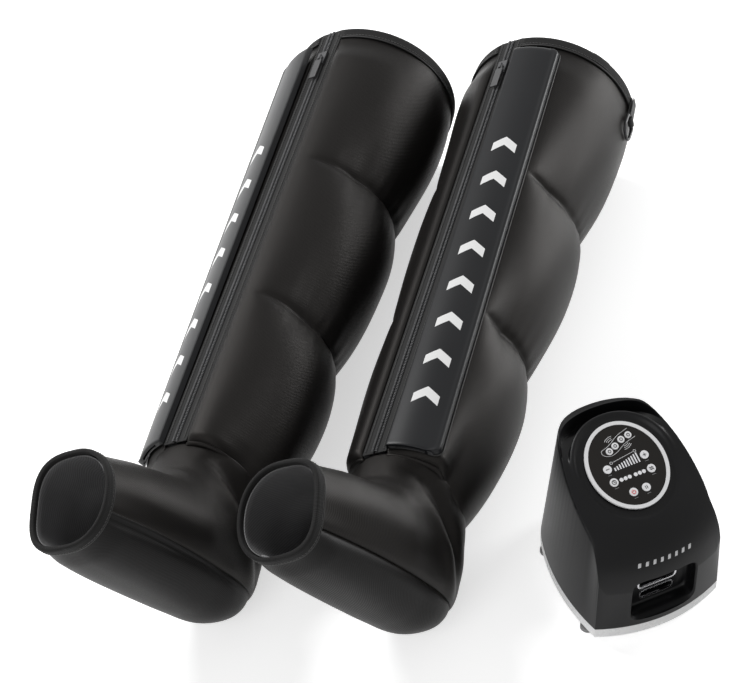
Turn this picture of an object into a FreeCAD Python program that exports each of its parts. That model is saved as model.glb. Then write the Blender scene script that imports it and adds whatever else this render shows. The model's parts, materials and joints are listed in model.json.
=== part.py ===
import FreeCAD, Part
import Sketcher
import math
import os
from types import SimpleNamespace
from FreeCAD import Placement, Rotation, Vector

# A pair of full-leg air compression boots lying on the floor, with their control pump.
# Row frame: +X right, +Y up the legs, +Z up, origin on the floor under the middle of the set.
# Boot frame: x to the wearer's right, y forward, z up the leg, origin in the ankle.
# Pump frame: x to its right, y to its back, z up, origin on the floor.

# Driving dimensions, in millimetres and degrees
SIZES = {
    "clearance": 0.4,
    "overrun": 5,
    # how the set lies
    "boot_roll": 33,
    "boot_spacing": 222,
    "boot_stagger": 45,
    "pump_offset": 232,
    "pump_advance": 151,
    "pump_turn": 42,
    # leg
    "ankle_level": 85,
    "lower_crease_level": 320,
    "upper_crease_level": 555,
    "rim_level": 787,
    "ankle_radius": 67,
    "lower_crease_radius": 83,
    "upper_crease_radius": 92,
    "rim_radius": 103,
    "calf_swell": 15,
    "knee_swell": 11,
    "thigh_swell": 7.5,
    "cover_thickness": 2,
    "lining_thickness": 1.5,
    "ankle_cavity_radius": 46,
    "thigh_cavity_radius": 74,
    "flare_height": 45,
    "cell_seam": 5,
    "binding_thickness": 1.6,
    "binding_height": 14,
    # foot
    "foot_angle": 111,
    "foot_reach": 200,
    "heel_reach": 97,
    "toe_width": 108,
    "toe_height": 114,
    "instep_width": 128,
    "instep_height": 128,
    "heel_width": 122,
    "heel_height": 122,
    "sole_depth": 64,
    "sole_seam_height": 30,
    "foot_cell_thickness": 17,
    "toe_binding_width": 12,
    "toe_binding_thickness": 5,
    # zipper
    "zipper_bottom_level": 98,
    "zipper_low_reach": 85.8,
    "zipper_slot": 33.6,
    "tape_thickness": 1.2,
    "tape_slit": 2,
    "coil_width": 3,
    "coil_height": 2.4,
    "lining_slit": 6,
    "slider_rest": 52,
    "slider_length": 22,
    "slider_plate": 1.5,
    "slider_flange": 2.2,
    "slider_web": 1,
    "lug_width": 3,
    "lug_length": 8,
    "lug_height": 3.8,
    "pull_pin_radius": 1.1,
    "pull_arm": 1.6,
    "pull_width": 10,
    "pull_length": 32,
    "pull_thickness": 1.8,
    # strip beside the zipper
    "placket_low_level": 100,
    "placket_high_level": 758,
    "placket_low_radius": 88.2,
    "placket_hem_lift": 7.2,
    "placket_width": 53,
    "placket_skin": 2,
    "placket_wall": 4,
    "placket_channel": 6,
    "tube_radius": 2.2,
    "inlet_length": 26,
    "socket_width": 30,
    "socket_height": 2.6,
    "socket_depth": 12,
    # ring at the hem
    "ring_angle": 110,
    "ring_rod_radius": 2,
    "ring_width": 26,
    "ring_drop": 26,
    "loop_width": 15,
    "loop_thickness": 2.2,
    "loop_length": 40,
    "loop_eye_wall": 2.2,
    # pump shell
    "pump_height": 200,
    "pump_depth": 212,
    "pump_front_bow": 18,
    "pump_back_radius": 75,
    "pump_side_radius": 260,
    "pump_back_angle": 20,
    "pump_wall": 3,
    "pump_slope": 20,
    "pump_crown_reach": 62,
    "pump_front_curve": 80,
    "pump_crown_curve": 34,
    "pump_back_drop": 14,
    "base_height": 18,
    "base_edge": 6,
    "pad_radius": 9,
    "pad_height": 4,
    "boss_radius": 6,
    "boss_height": 20,
    "screw_radius": 2,
    "screw_head_radius": 4,
    "screw_head_height": 3,
    # panel on the pump
    "panel_reach": -2,
    "panel_half_width": 48,
    "panel_half_length": 54,
    "panel_band": 4.5,
    "panel_ring_height": 2.6,
    "overlay_height": 2,
    "window_margin": 6,
    "button_radius": 5,
    "zone_button_radius": 4.1,
    "button_travel": 0.6,
    "button_proud": 0.9,
    "light_height": 0.3,
    "light_radius": 2.3,
    "bar_width": 1.6,
    "bar_low": 4,
    "bar_high": 12,
    "board_thickness": 1.6,
    "board_margin": 4,
    # grip behind the panel
    "grip_inner_radius": 66,
    "grip_width": 15,
    "grip_depth": 20,
    "grip_half_angle": 26,
    # bay with the hose sockets
    "bay_width": 82,
    "bay_height": 62,
    "bay_floor_level": 32,
    "bay_depth": 24,
    "bay_corner": 12,
    "port_width": 46,
    "port_height": 11,
    "port_depth": 22,
    "port_corner": 4,
    "port_pitch": 14,
    "port_level": 80,
    "small_port_width": 40,
    "small_port_drop": 33,
    "trim_width": 2.2,
    "trim_height": 2,
    "nozzle_height": 5,
    "nozzle_radius": 2,
    # inside the pump
    "compressor_width": 84,
    "compressor_depth": 58,
    "compressor_height": 52,
    "compressor_reach": 4,
    "motor_radius": 22,
    "valve_width": 66,
    "valve_depth": 24,
    "valve_height": 26,
    "valve_reach": -46,
    "solenoid_radius": 6,
    "solenoid_height": 18,
    "main_board_width": 70,
    "main_board_height": 60,
    "main_board_reach": -12,
    "jack_radius": 6,
    "jack_bore_radius": 2.9,
    "jack_bore_depth": 10,
    "jack_length": 16,
    "jack_flange_radius": 8.5,
    "jack_flange_height": 1.6,
    "jack_gap": 0.8,
    "jack_level": 46,
    "jack_turn": 50,
}

# The heel's rounding: place behind the ankle, width and height, as shares of the heel's sizes
HEEL_SHARES = (
    (1.0, 0.34, 0.30), (0.96, 0.56, 0.53), (0.87, 0.74, 0.72), (0.73, 0.87, 0.86), (0.5, 0.96, 0.96),
)
FOOT_CORNER_SHARE = 0.42
INSTEP_PLACE_SHARE = 0.36

# Places on the panel, as shares of its half width and of its half length up the slope
BUTTON_SHARES = {
    "zone_1_button": (-0.25, 0.40),
    "zone_2_button": (-0.06, 0.47),
    "zone_3_button": (0.15, 0.56),
    "zone_4_button": (0.36, 0.60),
    "minus_button": (-0.50, 0.05),
    "plus_button": (0.50, 0.07),
    "time_button": (-0.50, -0.26),
    "mode_button": (0.50, -0.26),
    "power_button": (-0.17, -0.60),
    "pause_button": (0.17, -0.60),
}
DOT_SHARES = (-0.30, -0.19, -0.08, 0.08, 0.19, 0.30)
DOT_ROW_SHARE = -0.26
BAR_COUNT = 10
BAR_SPAN_SHARE = 0.32
BAR_FOOT_SHARE = -0.04

# Feet and screws of the pump, as shares of its half depth, and how much of a boss is clear of the wall
PAD_SHARES = (-0.62, 0.5)
BOSS_CLEAR_SHARE = 0.85
# The pump's shell draws in towards its top, and its base towards the floor
TOP_DRAW_SHARE = 0.86
BASE_EDGE_SHARES = ((1.0, 0.0), (0.3, 0.3), (0.0, 1.0))
# Where the air tubes lie across the strip, the holes across a socket and the valves along their block
TUBE_SHARES = (0.22, 0.5, 0.78)
NOZZLE_SHARES = (-0.66, -0.22, 0.22, 0.66)
SOLENOID_SHARES = (-0.36, -0.12, 0.12, 0.36)
# How round the ring's bow is, and how near to the floor, in clearances, a resting piece has to come
BOW_SHARE = 0.8
REST_SHARE = 0.01
FIRST_TILTS = (0.0, 1.0)


class Size:
    """A length that keeps its value and the expression that gives it from the sheet."""

    def __init__(self, value, text):
        self.value = value
        self.text = text

    def __float__(self):
        return float(self.value)

    def joined(self, sign, other, value):
        text = other.text if isinstance(other, Size) else repr(other)
        return Size(value, f"({self.text} {sign} {text})")

    def __add__(self, other):
        return self.joined("+", other, self.value + float(other))

    def __sub__(self, other):
        return self.joined("-", other, self.value - float(other))

    def __mul__(self, other):
        return self.joined("*", other, self.value * float(other))

    def __truediv__(self, other):
        return self.joined("/", other, self.value / float(other))

    def __neg__(self):
        return Size(-self.value, f"(0 - {self.text})")


doc = FreeCAD.newDocument("CompressionBoots")
sheet = doc.addObject("Spreadsheet::Sheet", "Sizes")
for row, (alias, value) in enumerate(SIZES.items(), start=1):
    sheet.set(f"A{row}", alias)
    sheet.set(f"B{row}", str(value))
    sheet.setAlias(f"B{row}", alias)
doc.recompute()
# The sheet's sizes: dim for what is bound to it, num for plain numbers
dim = SimpleNamespace(**{alias: Size(float(sheet.get(alias)), f"Sizes.{alias}") for alias in SIZES})
num = SimpleNamespace(**{alias: float(sheet.get(alias)) for alias in SIZES})
zero = Size(0, "0")
nodes = {}


# Objects of the document, with their sizes bound to the sheet

def bind(item, **sizes):
    for name, size in sizes.items():
        item.setExpression(name.replace("__", "."), size.text)


def at(item, x, y, z):
    bind(item, Placement__Base__x=x, Placement__Base__y=y, Placement__Base__z=z)
    return item


def box(length, width, height, x, y, z):
    item = doc.addObject("Part::Box", "Box")
    bind(item, Length=length, Width=width, Height=height)
    return at(item, x, y, z)


def middle_box(length, width, height, y, z):
    return box(length, width, height, -(length / 2), y, z)


def cylinder(radius, height, x=zero, y=zero, z=zero, axis=Vector(0, 0, 1)):
    item = doc.addObject("Part::Cylinder", "Cylinder")
    bind(item, Radius=radius, Height=height)
    item.Placement = Placement(Vector(), Rotation(Vector(0, 0, 1), axis))
    return at(item, x, y, z)


def cone(low_radius, high_radius, low, high):
    item = doc.addObject("Part::Cone", "Cone")
    bind(item, Radius1=low_radius, Radius2=high_radius, Height=high - low)
    return at(item, zero, zero, low)


def fuse(*items):
    if len(items) == 1:
        return items[0]
    item = doc.addObject("Part::MultiFuse", "Fuse")
    item.Shapes = list(items)
    return item


def cut(base, *tools):
    item = doc.addObject("Part::Cut", "Cut")
    item.Base = base
    item.Tool = fuse(*tools)
    return item


def common(*items):
    item = doc.addObject("Part::MultiCommon", "Common")
    item.Shapes = list(items)
    return item


def placed(item):
    """A primitive in a holder, so that the piece has a Placement of its own."""
    holder = doc.addObject("Part::Compound", "Holder")
    holder.Links = [item]
    return holder


def feature(shape):
    item = doc.addObject("Part::Feature", "Shape")
    item.Shape = shape
    return item


def node(name, item, placement):
    item.Label = name
    nodes[name] = (item, placement)


def arc_radius(start, end, swell):
    across = end[0] - start[0]
    along = end[1] - start[1]
    return ((across * across + along * along) / 4 + swell * swell) / (swell * 2)


def turned(outline):
    """A body turned about z. Each point is a radius, a level and the swell of the edge after it."""
    body = doc.addObject("PartDesign::Body", "Body")
    sketch = body.newObject("Sketcher::SketchObject", "Outline")
    plane = next(item for item in body.Origin.OriginFeatures if item.Role == "XZ_Plane")
    sketch.AttachmentSupport = [(plane, "")]
    sketch.MapMode = "FlatFace"
    edges = []
    for index, start in enumerate(outline):
        end = outline[(index + 1) % len(outline)]
        swell = start[2]
        rising = swell is None or float(end[1]) > float(start[1])
        low, high = (start, end) if rising else (end, start)
        first = Vector(float(low[0]), float(low[1]), 0)
        last = Vector(float(high[0]), float(high[1]), 0)
        if swell is None:
            edge = sketch.addGeometry(Part.LineSegment(first, last), False)
        else:
            outward = Vector(last.y - first.y, first.x - last.x, 0).normalize()
            crest = (first + last) / 2 + outward * float(swell)
            edge = sketch.addGeometry(Part.Arc(first, crest, last), False)
            size = arc_radius(low, high, swell)
            held = sketch.addConstraint(Sketcher.Constraint("Radius", edge, float(size)))
            sketch.setExpression(f"Constraints[{held}]", size.text)
        edges.append((edge, 1, 2) if rising else (edge, 2, 1))
    for index, (edge, head, tail) in enumerate(edges):
        follower = edges[(index + 1) % len(edges)]
        sketch.addConstraint(Sketcher.Constraint("Coincident", edge, tail, follower[0], follower[1]))
        for kind, size in (("DistanceX", outline[index][0]), ("DistanceY", outline[index][1])):
            held = sketch.addConstraint(Sketcher.Constraint(kind, -1, 1, edge, head, float(size)))
            sketch.setExpression(f"Constraints[{held}]", size.text)
    turn = body.newObject("PartDesign::Revolution", "Turn")
    turn.Profile = sketch
    turn.ReferenceAxis = (sketch, ["V_Axis"])
    turn.Angle = 360
    return body


# Wires and solids made with Part's own functions, from values of the sheet

def rounded_wire(points, radii):
    """A closed wire of straight runs with an arc of the given radius at each point."""
    corners = []
    for index, point in enumerate(points):
        before = (points[index - 1] - point).normalize()
        after = (points[(index + 1) % len(points)] - point).normalize()
        half = before.getAngle(after) / 2
        reach = radii[index] / math.tan(half)
        crest = point + (before + after).normalize() * (radii[index] / math.sin(half) - radii[index])
        corners.append((point + before * reach, crest, point + after * reach))
    edges = []
    for index, (start, crest, end) in enumerate(corners):
        if radii[index] > 0:
            edges.append(Part.Arc(start, crest, end).toShape())
        edges.append(Part.LineSegment(end, corners[(index + 1) % len(corners)][0]).toShape())
    return Part.Wire(edges)


def rectangle_wire(centre, across, up, width, height, corner):
    signs = ((1, 1), (-1, 1), (-1, -1), (1, -1))
    points = [centre + across * (width / 2 * i) + up * (height / 2 * j) for i, j in signs]
    return rounded_wire(points, [corner] * len(points))


def prism(wire, along):
    return Part.Face(wire).extrude(along)


def ellipse_prism(half_width, half_length, low, high):
    if half_width > half_length:
        curve = Part.Ellipse(Vector(half_width, 0, low), Vector(0, half_length, low), Vector(0, 0, low))
    else:
        curve = Part.Ellipse(Vector(0, half_length, low), Vector(half_width, 0, low), Vector(0, 0, low))
    return prism(Part.Wire(curve.toShape()), Vector(0, 0, high - low))


X = Vector(1, 0, 0)
Y = Vector(0, 1, 0)
Z = Vector(0, 0, 1)

# Leg

half_slot = dim.zipper_slot / 2
hem_level = dim.rim_level - dim.binding_height
flare_level = hem_level - dim.flare_height
top_level = dim.rim_level + dim.clearance + dim.binding_thickness


def zipper_slot(width, low):
    return middle_box(width, dim.rim_radius * 2, top_level + dim.overrun - low, zero, low)


def leg_cover(ports):
    inner = dim.cover_thickness
    levels = (dim.ankle_level, dim.lower_crease_level, dim.upper_crease_level, hem_level)
    radii = (dim.ankle_radius, dim.lower_crease_radius, dim.upper_crease_radius, dim.rim_radius)
    swells = (dim.calf_swell, dim.knee_swell, dim.thigh_swell)
    outline = [(radii[i], levels[i], swells[i]) for i in range(3)]
    outline += [(radii[3], levels[3], None), (radii[3], dim.rim_level, None)]
    outline += [(radii[3] - inner, dim.rim_level, None)]
    outline += [(radii[i] - inner, levels[i], swells[i - 1]) for i in (3, 2, 1)]
    outline += [(radii[0] - inner, levels[0], None)]
    return cut(turned(outline), zipper_slot(dim.zipper_slot, dim.zipper_bottom_level), *ports)


def cavity_radius(level):
    rise = (level - dim.ankle_level) / (flare_level - dim.ankle_level)
    return dim.ankle_cavity_radius + (dim.thigh_cavity_radius - dim.ankle_cavity_radius) * rise


def lining():
    thick = dim.lining_thickness
    rim = dim.rim_radius - dim.cover_thickness - dim.clearance - thick
    outline = [(dim.ankle_cavity_radius, dim.ankle_level, None)]
    outline += [(dim.thigh_cavity_radius, flare_level, None)]
    outline += [(rim, hem_level, None), (rim, dim.rim_level, None), (rim + thick, dim.rim_level, None)]
    outline += [(rim + thick, hem_level, None), (dim.thigh_cavity_radius + thick, flare_level, None)]
    outline += [(dim.ankle_cavity_radius + thick, dim.ankle_level, None)]
    return cut(turned(outline), zipper_slot(dim.lining_slit, dim.zipper_bottom_level))


def air_cell(low_weld, high_weld, swell, ports):
    """One leg cell: it fills the room between two welds, the cover and the lining."""
    low_level, low_radius = low_weld
    high_level, high_radius = high_weld
    low = low_level + dim.cell_seam
    high = high_level - dim.cell_seam
    back = dim.cover_thickness + dim.clearance
    inward = dim.lining_thickness + dim.clearance
    outline = [(low_radius - back, low, swell), (high_radius - back, high, None)]
    outline += [(cavity_radius(high) + inward, high, None), (cavity_radius(low) + inward, low, None)]
    return cut(turned(outline), zipper_slot(dim.zipper_slot, dim.zipper_bottom_level), *ports)


def chord_radius(level):
    """The cover's radius on the straight line from the upper weld to the rim."""
    rise = (level - dim.upper_crease_level) / (hem_level - dim.upper_crease_level)
    return dim.upper_crease_radius + (dim.rim_radius - dim.upper_crease_radius) * rise


def flare_share():
    run = (flare_level - dim.upper_crease_level) / (hem_level - dim.upper_crease_level)
    return run * run


def top_binding(loop):
    wall = dim.binding_thickness
    gap = dim.clearance
    outer = dim.rim_radius + gap
    inner = dim.rim_radius - dim.cover_thickness - dim.clearance - dim.lining_thickness - gap
    web = dim.rim_level + gap
    outline = [(outer, hem_level, None), (outer + wall, hem_level, None), (outer + wall, web + wall, None)]
    outline += [(inner - wall, web + wall, None), (inner - wall, hem_level, None), (inner, hem_level, None)]
    outline += [(inner, web, None), (outer, web, None)]
    return fuse(cut(turned(outline), zipper_slot(dim.zipper_slot, hem_level - dim.overrun)), loop)


# Foot, along its own direction from the ankle

lean = math.radians(num.foot_angle)
TOE = Vector(0, math.sin(lean), math.cos(lean))
INSTEP = Vector(0, -math.cos(lean), math.sin(lean))
toe_middle = num.toe_height / 2 - num.sole_depth


def foot_section(place, width, height, middle):
    centre = TOE * place + INSTEP * middle
    return rectangle_wire(centre, X, INSTEP, width, height, FOOT_CORNER_SHARE * min(width, height))


def ankle_radius_at(level):
    heel = num.heel_width / 2
    return heel + (num.ankle_radius - heel) * level / num.ankle_level


def foot_solid(inset, top, past):
    """The foot's outline drawn in by inset, up to top in the ankle and carried on past the toe."""
    drawn = 2 * inset
    wires = []
    for place, width, height in HEEL_SHARES:
        wires.append(foot_section((inset - num.heel_reach) * place, (num.heel_width - drawn) * width,
                                  (num.heel_height - drawn) * height, num.heel_height / 2 - num.sole_depth))
    ankle_width = (num.heel_width + num.instep_width) / 2
    ankle_height = (num.heel_height + num.instep_height) / 2
    for place, width, height in (
        (0, ankle_width, ankle_height),
        (num.foot_reach * INSTEP_PLACE_SHARE, num.instep_width, num.instep_height),
        (num.foot_reach, num.toe_width, num.toe_height),
    ):
        wires.append(foot_section(place, width - drawn, height - drawn, height / 2 - num.sole_depth))
    foot = Part.makeLoft(wires, True, True)
    if past > 0:
        foot = foot.fuse(prism(wires[-1], TOE * past))
    return foot.fuse(Part.makeCone(ankle_radius_at(0) - inset, ankle_radius_at(top) - inset, top))


def below_sole_seam():
    size = 2 * (num.foot_reach + num.heel_reach)
    block = Part.makeBox(size, size, size, Vector(-size / 2, -size / 2, -size))
    seam = INSTEP * (num.sole_seam_height - num.sole_depth)
    block.Placement = Placement(seam, Rotation(X, num.foot_angle - 90).inverted())
    return block


def foot_pieces():
    skin = num.cover_thickness
    cell = skin + num.clearance
    top = num.ankle_level - num.clearance
    shell = foot_solid(0, top, 0).cut(foot_solid(skin, top + num.overrun, num.overrun))
    seam = below_sole_seam()
    toe_start = num.foot_reach - num.cell_seam
    toe_end = prism(foot_section(toe_start, num.instep_width, num.instep_height, toe_middle),
                    TOE * (num.cell_seam + num.overrun))
    room = foot_solid(cell + num.foot_cell_thickness, num.ankle_level + num.overrun, num.overrun)
    air = foot_solid(cell, num.ankle_level - num.cell_seam, 0).cut([room, toe_end])
    return shell.cut(seam), shell.common(seam), air


def toe_binding():
    along = TOE * num.toe_binding_width

    def ring(grow):
        return prism(foot_section(num.foot_reach + num.clearance, num.toe_width + 2 * grow,
                                  num.toe_height + 2 * grow, toe_middle), along)

    return ring(num.binding_thickness).cut(ring(-num.toe_binding_thickness))


# Zipper, in a frame on the tapes' face: x across, y outward, z up the zipper

zipper_rise = dim.rim_radius - dim.zipper_low_reach
zipper_run = top_level - dim.zipper_bottom_level
zipper_tilt = math.degrees(math.atan2(float(zipper_rise), float(zipper_run)))
zipper_length = Size(math.hypot(float(zipper_rise), float(zipper_run)),
                     f"sqrt({zipper_rise.text}^2 + {zipper_run.text}^2)")
tape_width = half_slot - dim.clearance - dim.tape_slit / 2


def zipper_tapes():
    edges = (dim.tape_slit / 2, -(dim.tape_slit / 2 + tape_width))
    thick = dim.tape_thickness
    return fuse(*[box(tape_width, thick, zipper_length, edge, -thick, zero) for edge in edges])


def zipper_coil():
    edges = (dim.tape_slit / 2, -(dim.tape_slit / 2 + dim.coil_width))
    return fuse(*[box(dim.coil_width, dim.coil_height, zipper_length, edge, zero, zero) for edge in edges])


coil_half = dim.tape_slit / 2 + dim.coil_width + dim.clearance
slider_half = coil_half + dim.slider_flange
slider_face = dim.coil_height + dim.clearance + dim.slider_plate
pull_axis = slider_face + dim.lug_height / 2


def zipper_slider():
    length = dim.slider_length
    low = -(length / 2)
    under = -(dim.tape_thickness + dim.clearance + dim.slider_plate)
    top = middle_box(slider_half * 2, dim.slider_plate, length, slider_face - dim.slider_plate, low)
    bottom = middle_box(slider_half * 2, dim.slider_plate, length, under, low)
    web = middle_box(dim.slider_web, slider_face - under, length, under, low)
    flanges = [
        box(dim.slider_flange, slider_face - dim.clearance, length, x, dim.clearance, low)
        for x in (coil_half, -slider_half)
    ]
    lug = middle_box(dim.lug_width, dim.lug_height, dim.lug_length, slider_face, -(dim.lug_length / 2))
    hole_radius = dim.pull_pin_radius + dim.clearance
    hole = cylinder(hole_radius, dim.lug_width * 2, -dim.lug_width, pull_axis, zero, X)
    return cut(fuse(top, bottom, web, *flanges, lug), hole)


def pull_tab():
    thick = dim.pull_thickness
    gap = dim.lug_width / 2 + dim.clearance
    start = dim.lug_length / 2 + thick
    pin = cylinder(dim.pull_pin_radius, (gap + dim.pull_arm) * 2, -(gap + dim.pull_arm), pull_axis, zero, X)
    low = pull_axis - thick / 2
    arms = [
        box(dim.pull_arm, thick, start + thick * 3 / 2, x, low, -(start + thick))
        for x in (gap, -(gap + dim.pull_arm))
    ]
    tab = middle_box(dim.pull_width, thick, dim.pull_length, low, -(start + dim.pull_length))
    return fuse(pin, *arms, tab)


# Strip beside the zipper, on the outer side of each boot (side is 1 for the right boot, -1 for the left)

strip_run = dim.placket_high_level - dim.placket_low_level
strip_high_radius = dim.rim_radius + dim.placket_hem_lift
strip_rise = strip_high_radius - dim.placket_low_radius
strip_start = half_slot + dim.clearance


def strip_cone(out, low, high):
    """A cone that stands out from the strip's underside by out, between two levels."""
    low_radius = dim.placket_low_radius + strip_rise * ((low - dim.placket_low_level) / strip_run) + out
    high_radius = dim.placket_low_radius + strip_rise * ((high - dim.placket_low_level) / strip_run) + out
    return cone(low_radius, high_radius, low, high)


def strip_box(side, start, width, low, high):
    edge = start if side > 0 else -(start + width)
    return box(width, strip_high_radius * 2, high - low, edge, zero, low)


def strip_layer(side, inner, outer, margin, low, high):
    shell = cut(strip_cone(outer, low, high), strip_cone(inner, low - dim.overrun, high + dim.overrun))
    start = strip_start + margin
    return common(shell, strip_box(side, start, dim.placket_width - margin * 2, low, high))


def placket(side):
    low = dim.placket_low_level
    high = dim.placket_high_level
    body = strip_layer(side, zero, dim.placket_channel + dim.placket_skin, zero, low, high)
    channel = strip_layer(side, -dim.overrun, dim.placket_channel, dim.placket_wall,
                          low - dim.overrun, high - dim.placket_wall)
    return cut(body, channel)


def air_inlet(side):
    low = dim.placket_low_level
    gap = dim.clearance
    margin = dim.placket_wall + gap
    body = strip_layer(side, gap, dim.placket_channel - gap, margin, low, low + dim.inlet_length)
    middle = strip_start + dim.placket_width / 2
    edge = middle - dim.socket_width / 2
    socket = strip_layer(side, dim.placket_channel / 2 - dim.socket_height / 2,
                         dim.placket_channel / 2 + dim.socket_height / 2, edge - strip_start,
                         low - dim.overrun, low + dim.socket_depth)
    return cut(body, socket)


tube_start = dim.placket_low_level + dim.inlet_length
cell_levels = (
    (dim.ankle_level + dim.lower_crease_level) / 2,
    (dim.lower_crease_level + dim.upper_crease_level) / 2,
    (dim.upper_crease_level + flare_level) / 2,
)


def strip_point(side, share, level, out):
    """A point in the strip's channel, with its outward direction square to the leg."""
    channel_width = dim.placket_width - dim.placket_wall * 2
    across = side * float(strip_start + dim.placket_wall + channel_width * share)
    rise = (float(level) - num.placket_low_level) / float(strip_run)
    radius = num.placket_low_radius + float(strip_rise) * rise + out
    return Vector(across, math.sqrt(radius**2 - across**2), float(level))


def air_tubes(side):
    """Three tubes that run up the channel, each turning in through the cover to its cell."""
    tubes = []
    out = num.placket_channel / 2
    for share, level in zip(TUBE_SHARES, cell_levels):
        start = strip_point(side, share, tube_start, out)
        end = strip_point(side, share, level, out)
        run = Part.makeCylinder(num.tube_radius, start.distanceToPoint(end), start, end - start)
        outward = Vector(end.x, end.y, 0).normalize()
        turn = Part.makeSphere(num.tube_radius, end)
        stem = Part.makeCylinder(num.tube_radius, num.placket_channel + num.overrun, end, -outward)
        tubes.append(run.fuse([turn, stem]))
    return Part.makeCompound(tubes)


def air_ports(side):
    """Holes for the tubes' inward ends, through the cover and into the cells."""
    holes = []
    out = num.placket_channel / 2
    for share, level in zip(TUBE_SHARES, cell_levels):
        end = strip_point(side, share, level, out)
        outward = Vector(end.x, end.y, 0).normalize()
        depth = num.placket_channel + 2 * num.overrun
        holes.append(Part.makeCylinder(num.tube_radius + num.clearance, depth, end, -outward))
    return [feature(hole) for hole in holes]


# Ring and its webbing loop, in a frame at the hem: x along the hem, y outward, z up the leg

eye_level = top_level - dim.loop_length


def thigh_radius(level):
    """The cover's radius on its swollen thigh length."""
    run = (level - dim.upper_crease_level) / (hem_level - dim.upper_crease_level)
    return chord_radius(level) + dim.thigh_swell * (run - run * run) * 4


# the loop and the hanging ring both clear the swollen cover below the hem
loop_seat = dim.rim_radius + dim.clearance
loop_face = max(thigh_radius(eye_level), thigh_radius(eye_level - dim.ring_drop), dim.rim_radius, key=float)
loop_face = loop_face + dim.clearance
eye_radius = dim.ring_rod_radius + dim.clearance
eye_reach = loop_face + eye_radius + dim.loop_eye_wall


def ring_loop(turn):
    """The webbing: a flat run over the binding and an eye below it, turned round to its side."""
    low = eye_level
    width = dim.loop_width
    thick = dim.loop_thickness + dim.clearance
    flat = middle_box(width, thick, dim.loop_length, loop_face, low)
    seat = middle_box(width, loop_face - loop_seat + thick, top_level - hem_level, loop_seat, hem_level)
    barrel = cylinder(eye_radius + dim.loop_eye_wall, width, -(width / 2), eye_reach, low, X)
    hole = cylinder(eye_radius, width * 2, -width, eye_reach, low, X)
    item = cut(fuse(flat, seat, barrel), hole)
    item.Placement = turn
    return item


def d_ring():
    """A bent rod: a straight bar through the eye and a bow below it."""
    rod = num.ring_rod_radius
    half = num.ring_width / 2
    corner = rod * 2
    bow = half * BOW_SHARE
    corners = [Vector(half, 0, 0), Vector(-half, 0, 0), Vector(-half, 0, -num.ring_drop),
               Vector(half, 0, -num.ring_drop)]
    path = rounded_wire(corners, [corner, corner, bow, bow])
    profile = Part.Wire(Part.makeCircle(rod, Vector(), X))
    return path.makePipeShell([profile], True, False)


# Pump shell

half_depth = num.pump_depth / 2
base_top = num.pad_height + num.base_height
slope = math.radians(num.pump_slope)


def plan_places(inset):
    """The plan's arcs: a bowed front, two long sides and a round back that they run into."""
    back_angle = math.radians(num.pump_back_angle)
    back_centre = Vector(0, half_depth - num.pump_back_radius, 0)
    out = Vector(math.cos(back_angle), math.sin(back_angle), 0)
    side_centre = back_centre + out * (num.pump_back_radius - num.pump_side_radius)
    return back_angle, back_centre, out, side_centre, num.pump_side_radius - inset


def side_reach(y, inset):
    _, _, _, centre, radius = plan_places(inset)
    return centre.x + math.sqrt(radius**2 - (y - centre.y)**2)


def plan_wire(inset, share, level):
    back_angle, back_centre, out, side_centre, side_radius = plan_places(inset)
    back_radius = num.pump_back_radius - inset
    corner_y = num.pump_front_bow - half_depth + inset
    corner = Vector(side_reach(corner_y, inset), corner_y, 0)
    corner_angle = math.atan2(corner.y - side_centre.y, corner.x - side_centre.x)
    middle_angle = (corner_angle + back_angle) / 2
    side = side_centre + Vector(math.cos(middle_angle), math.sin(middle_angle), 0) * side_radius
    joint = back_centre + out * back_radius
    back = back_centre + Y * back_radius
    front = Y * (inset - half_depth)

    def drawn(point, mirror):
        return Vector(point.x * mirror * share, point.y * share, level)

    arcs = (
        (drawn(corner, -1), drawn(front, 1), drawn(corner, 1)),
        (drawn(corner, 1), drawn(side, 1), drawn(joint, 1)),
        (drawn(joint, 1), drawn(back, 1), drawn(joint, -1)),
        (drawn(joint, -1), drawn(side, -1), drawn(corner, -1)),
    )
    return Part.Wire([Part.Arc(*points).toShape() for points in arcs])


def slope_height(y):
    return num.pump_height - (num.pump_crown_reach - y) * math.tan(slope)


def pump_profile(inset, low):
    """The side view: upright front, round shoulder, sloping panel face, crown and back."""
    front = inset - half_depth
    drop = inset / math.cos(slope)
    back = half_depth + num.overrun
    points = [
        Vector(-num.pump_depth, front, low),
        Vector(-num.pump_depth, front, slope_height(front) - drop),
        Vector(-num.pump_depth, num.pump_crown_reach, num.pump_height - drop),
        Vector(-num.pump_depth, back, num.pump_height - num.pump_back_drop - drop),
        Vector(-num.pump_depth, back, low),
    ]
    wire = rounded_wire(points, [0, num.pump_front_curve - inset, num.pump_crown_curve - inset, 0, 0])
    return prism(wire, X * (2 * num.pump_depth))


def pump_body(inset, low):
    rise = num.pump_height - base_top
    low_share = 1 + (1 - TOP_DRAW_SHARE) * (base_top - low) / rise
    wires = [plan_wire(inset, low_share, low), plan_wire(inset, TOP_DRAW_SHARE, num.pump_height)]
    return Part.makeLoft(wires, True, True).common(pump_profile(inset, low))


bay_back = num.bay_depth - half_depth
port_levels = (num.port_level, num.port_level - num.port_pitch, num.port_level - num.small_port_drop)
port_widths = (num.port_width, num.port_width, num.small_port_width)


def bay_pocket(grow):
    middle = num.bay_floor_level + num.bay_height / 2
    start = Vector(0, -half_depth - num.overrun, middle)
    width = num.bay_width + 2 * grow
    wire = rectangle_wire(start, X, Z, width, num.bay_height + 2 * grow, num.bay_corner + grow)
    return prism(wire, Y * (num.bay_depth + num.overrun + grow))


def port_pocket(width, level, grow):
    start = Vector(0, bay_back - num.overrun, level)
    height = num.port_height + 2 * grow
    wire = rectangle_wire(start, X, Z, width + 2 * grow, height, num.port_corner + grow)
    return prism(wire, Y * (num.port_depth + num.overrun + grow))


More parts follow.
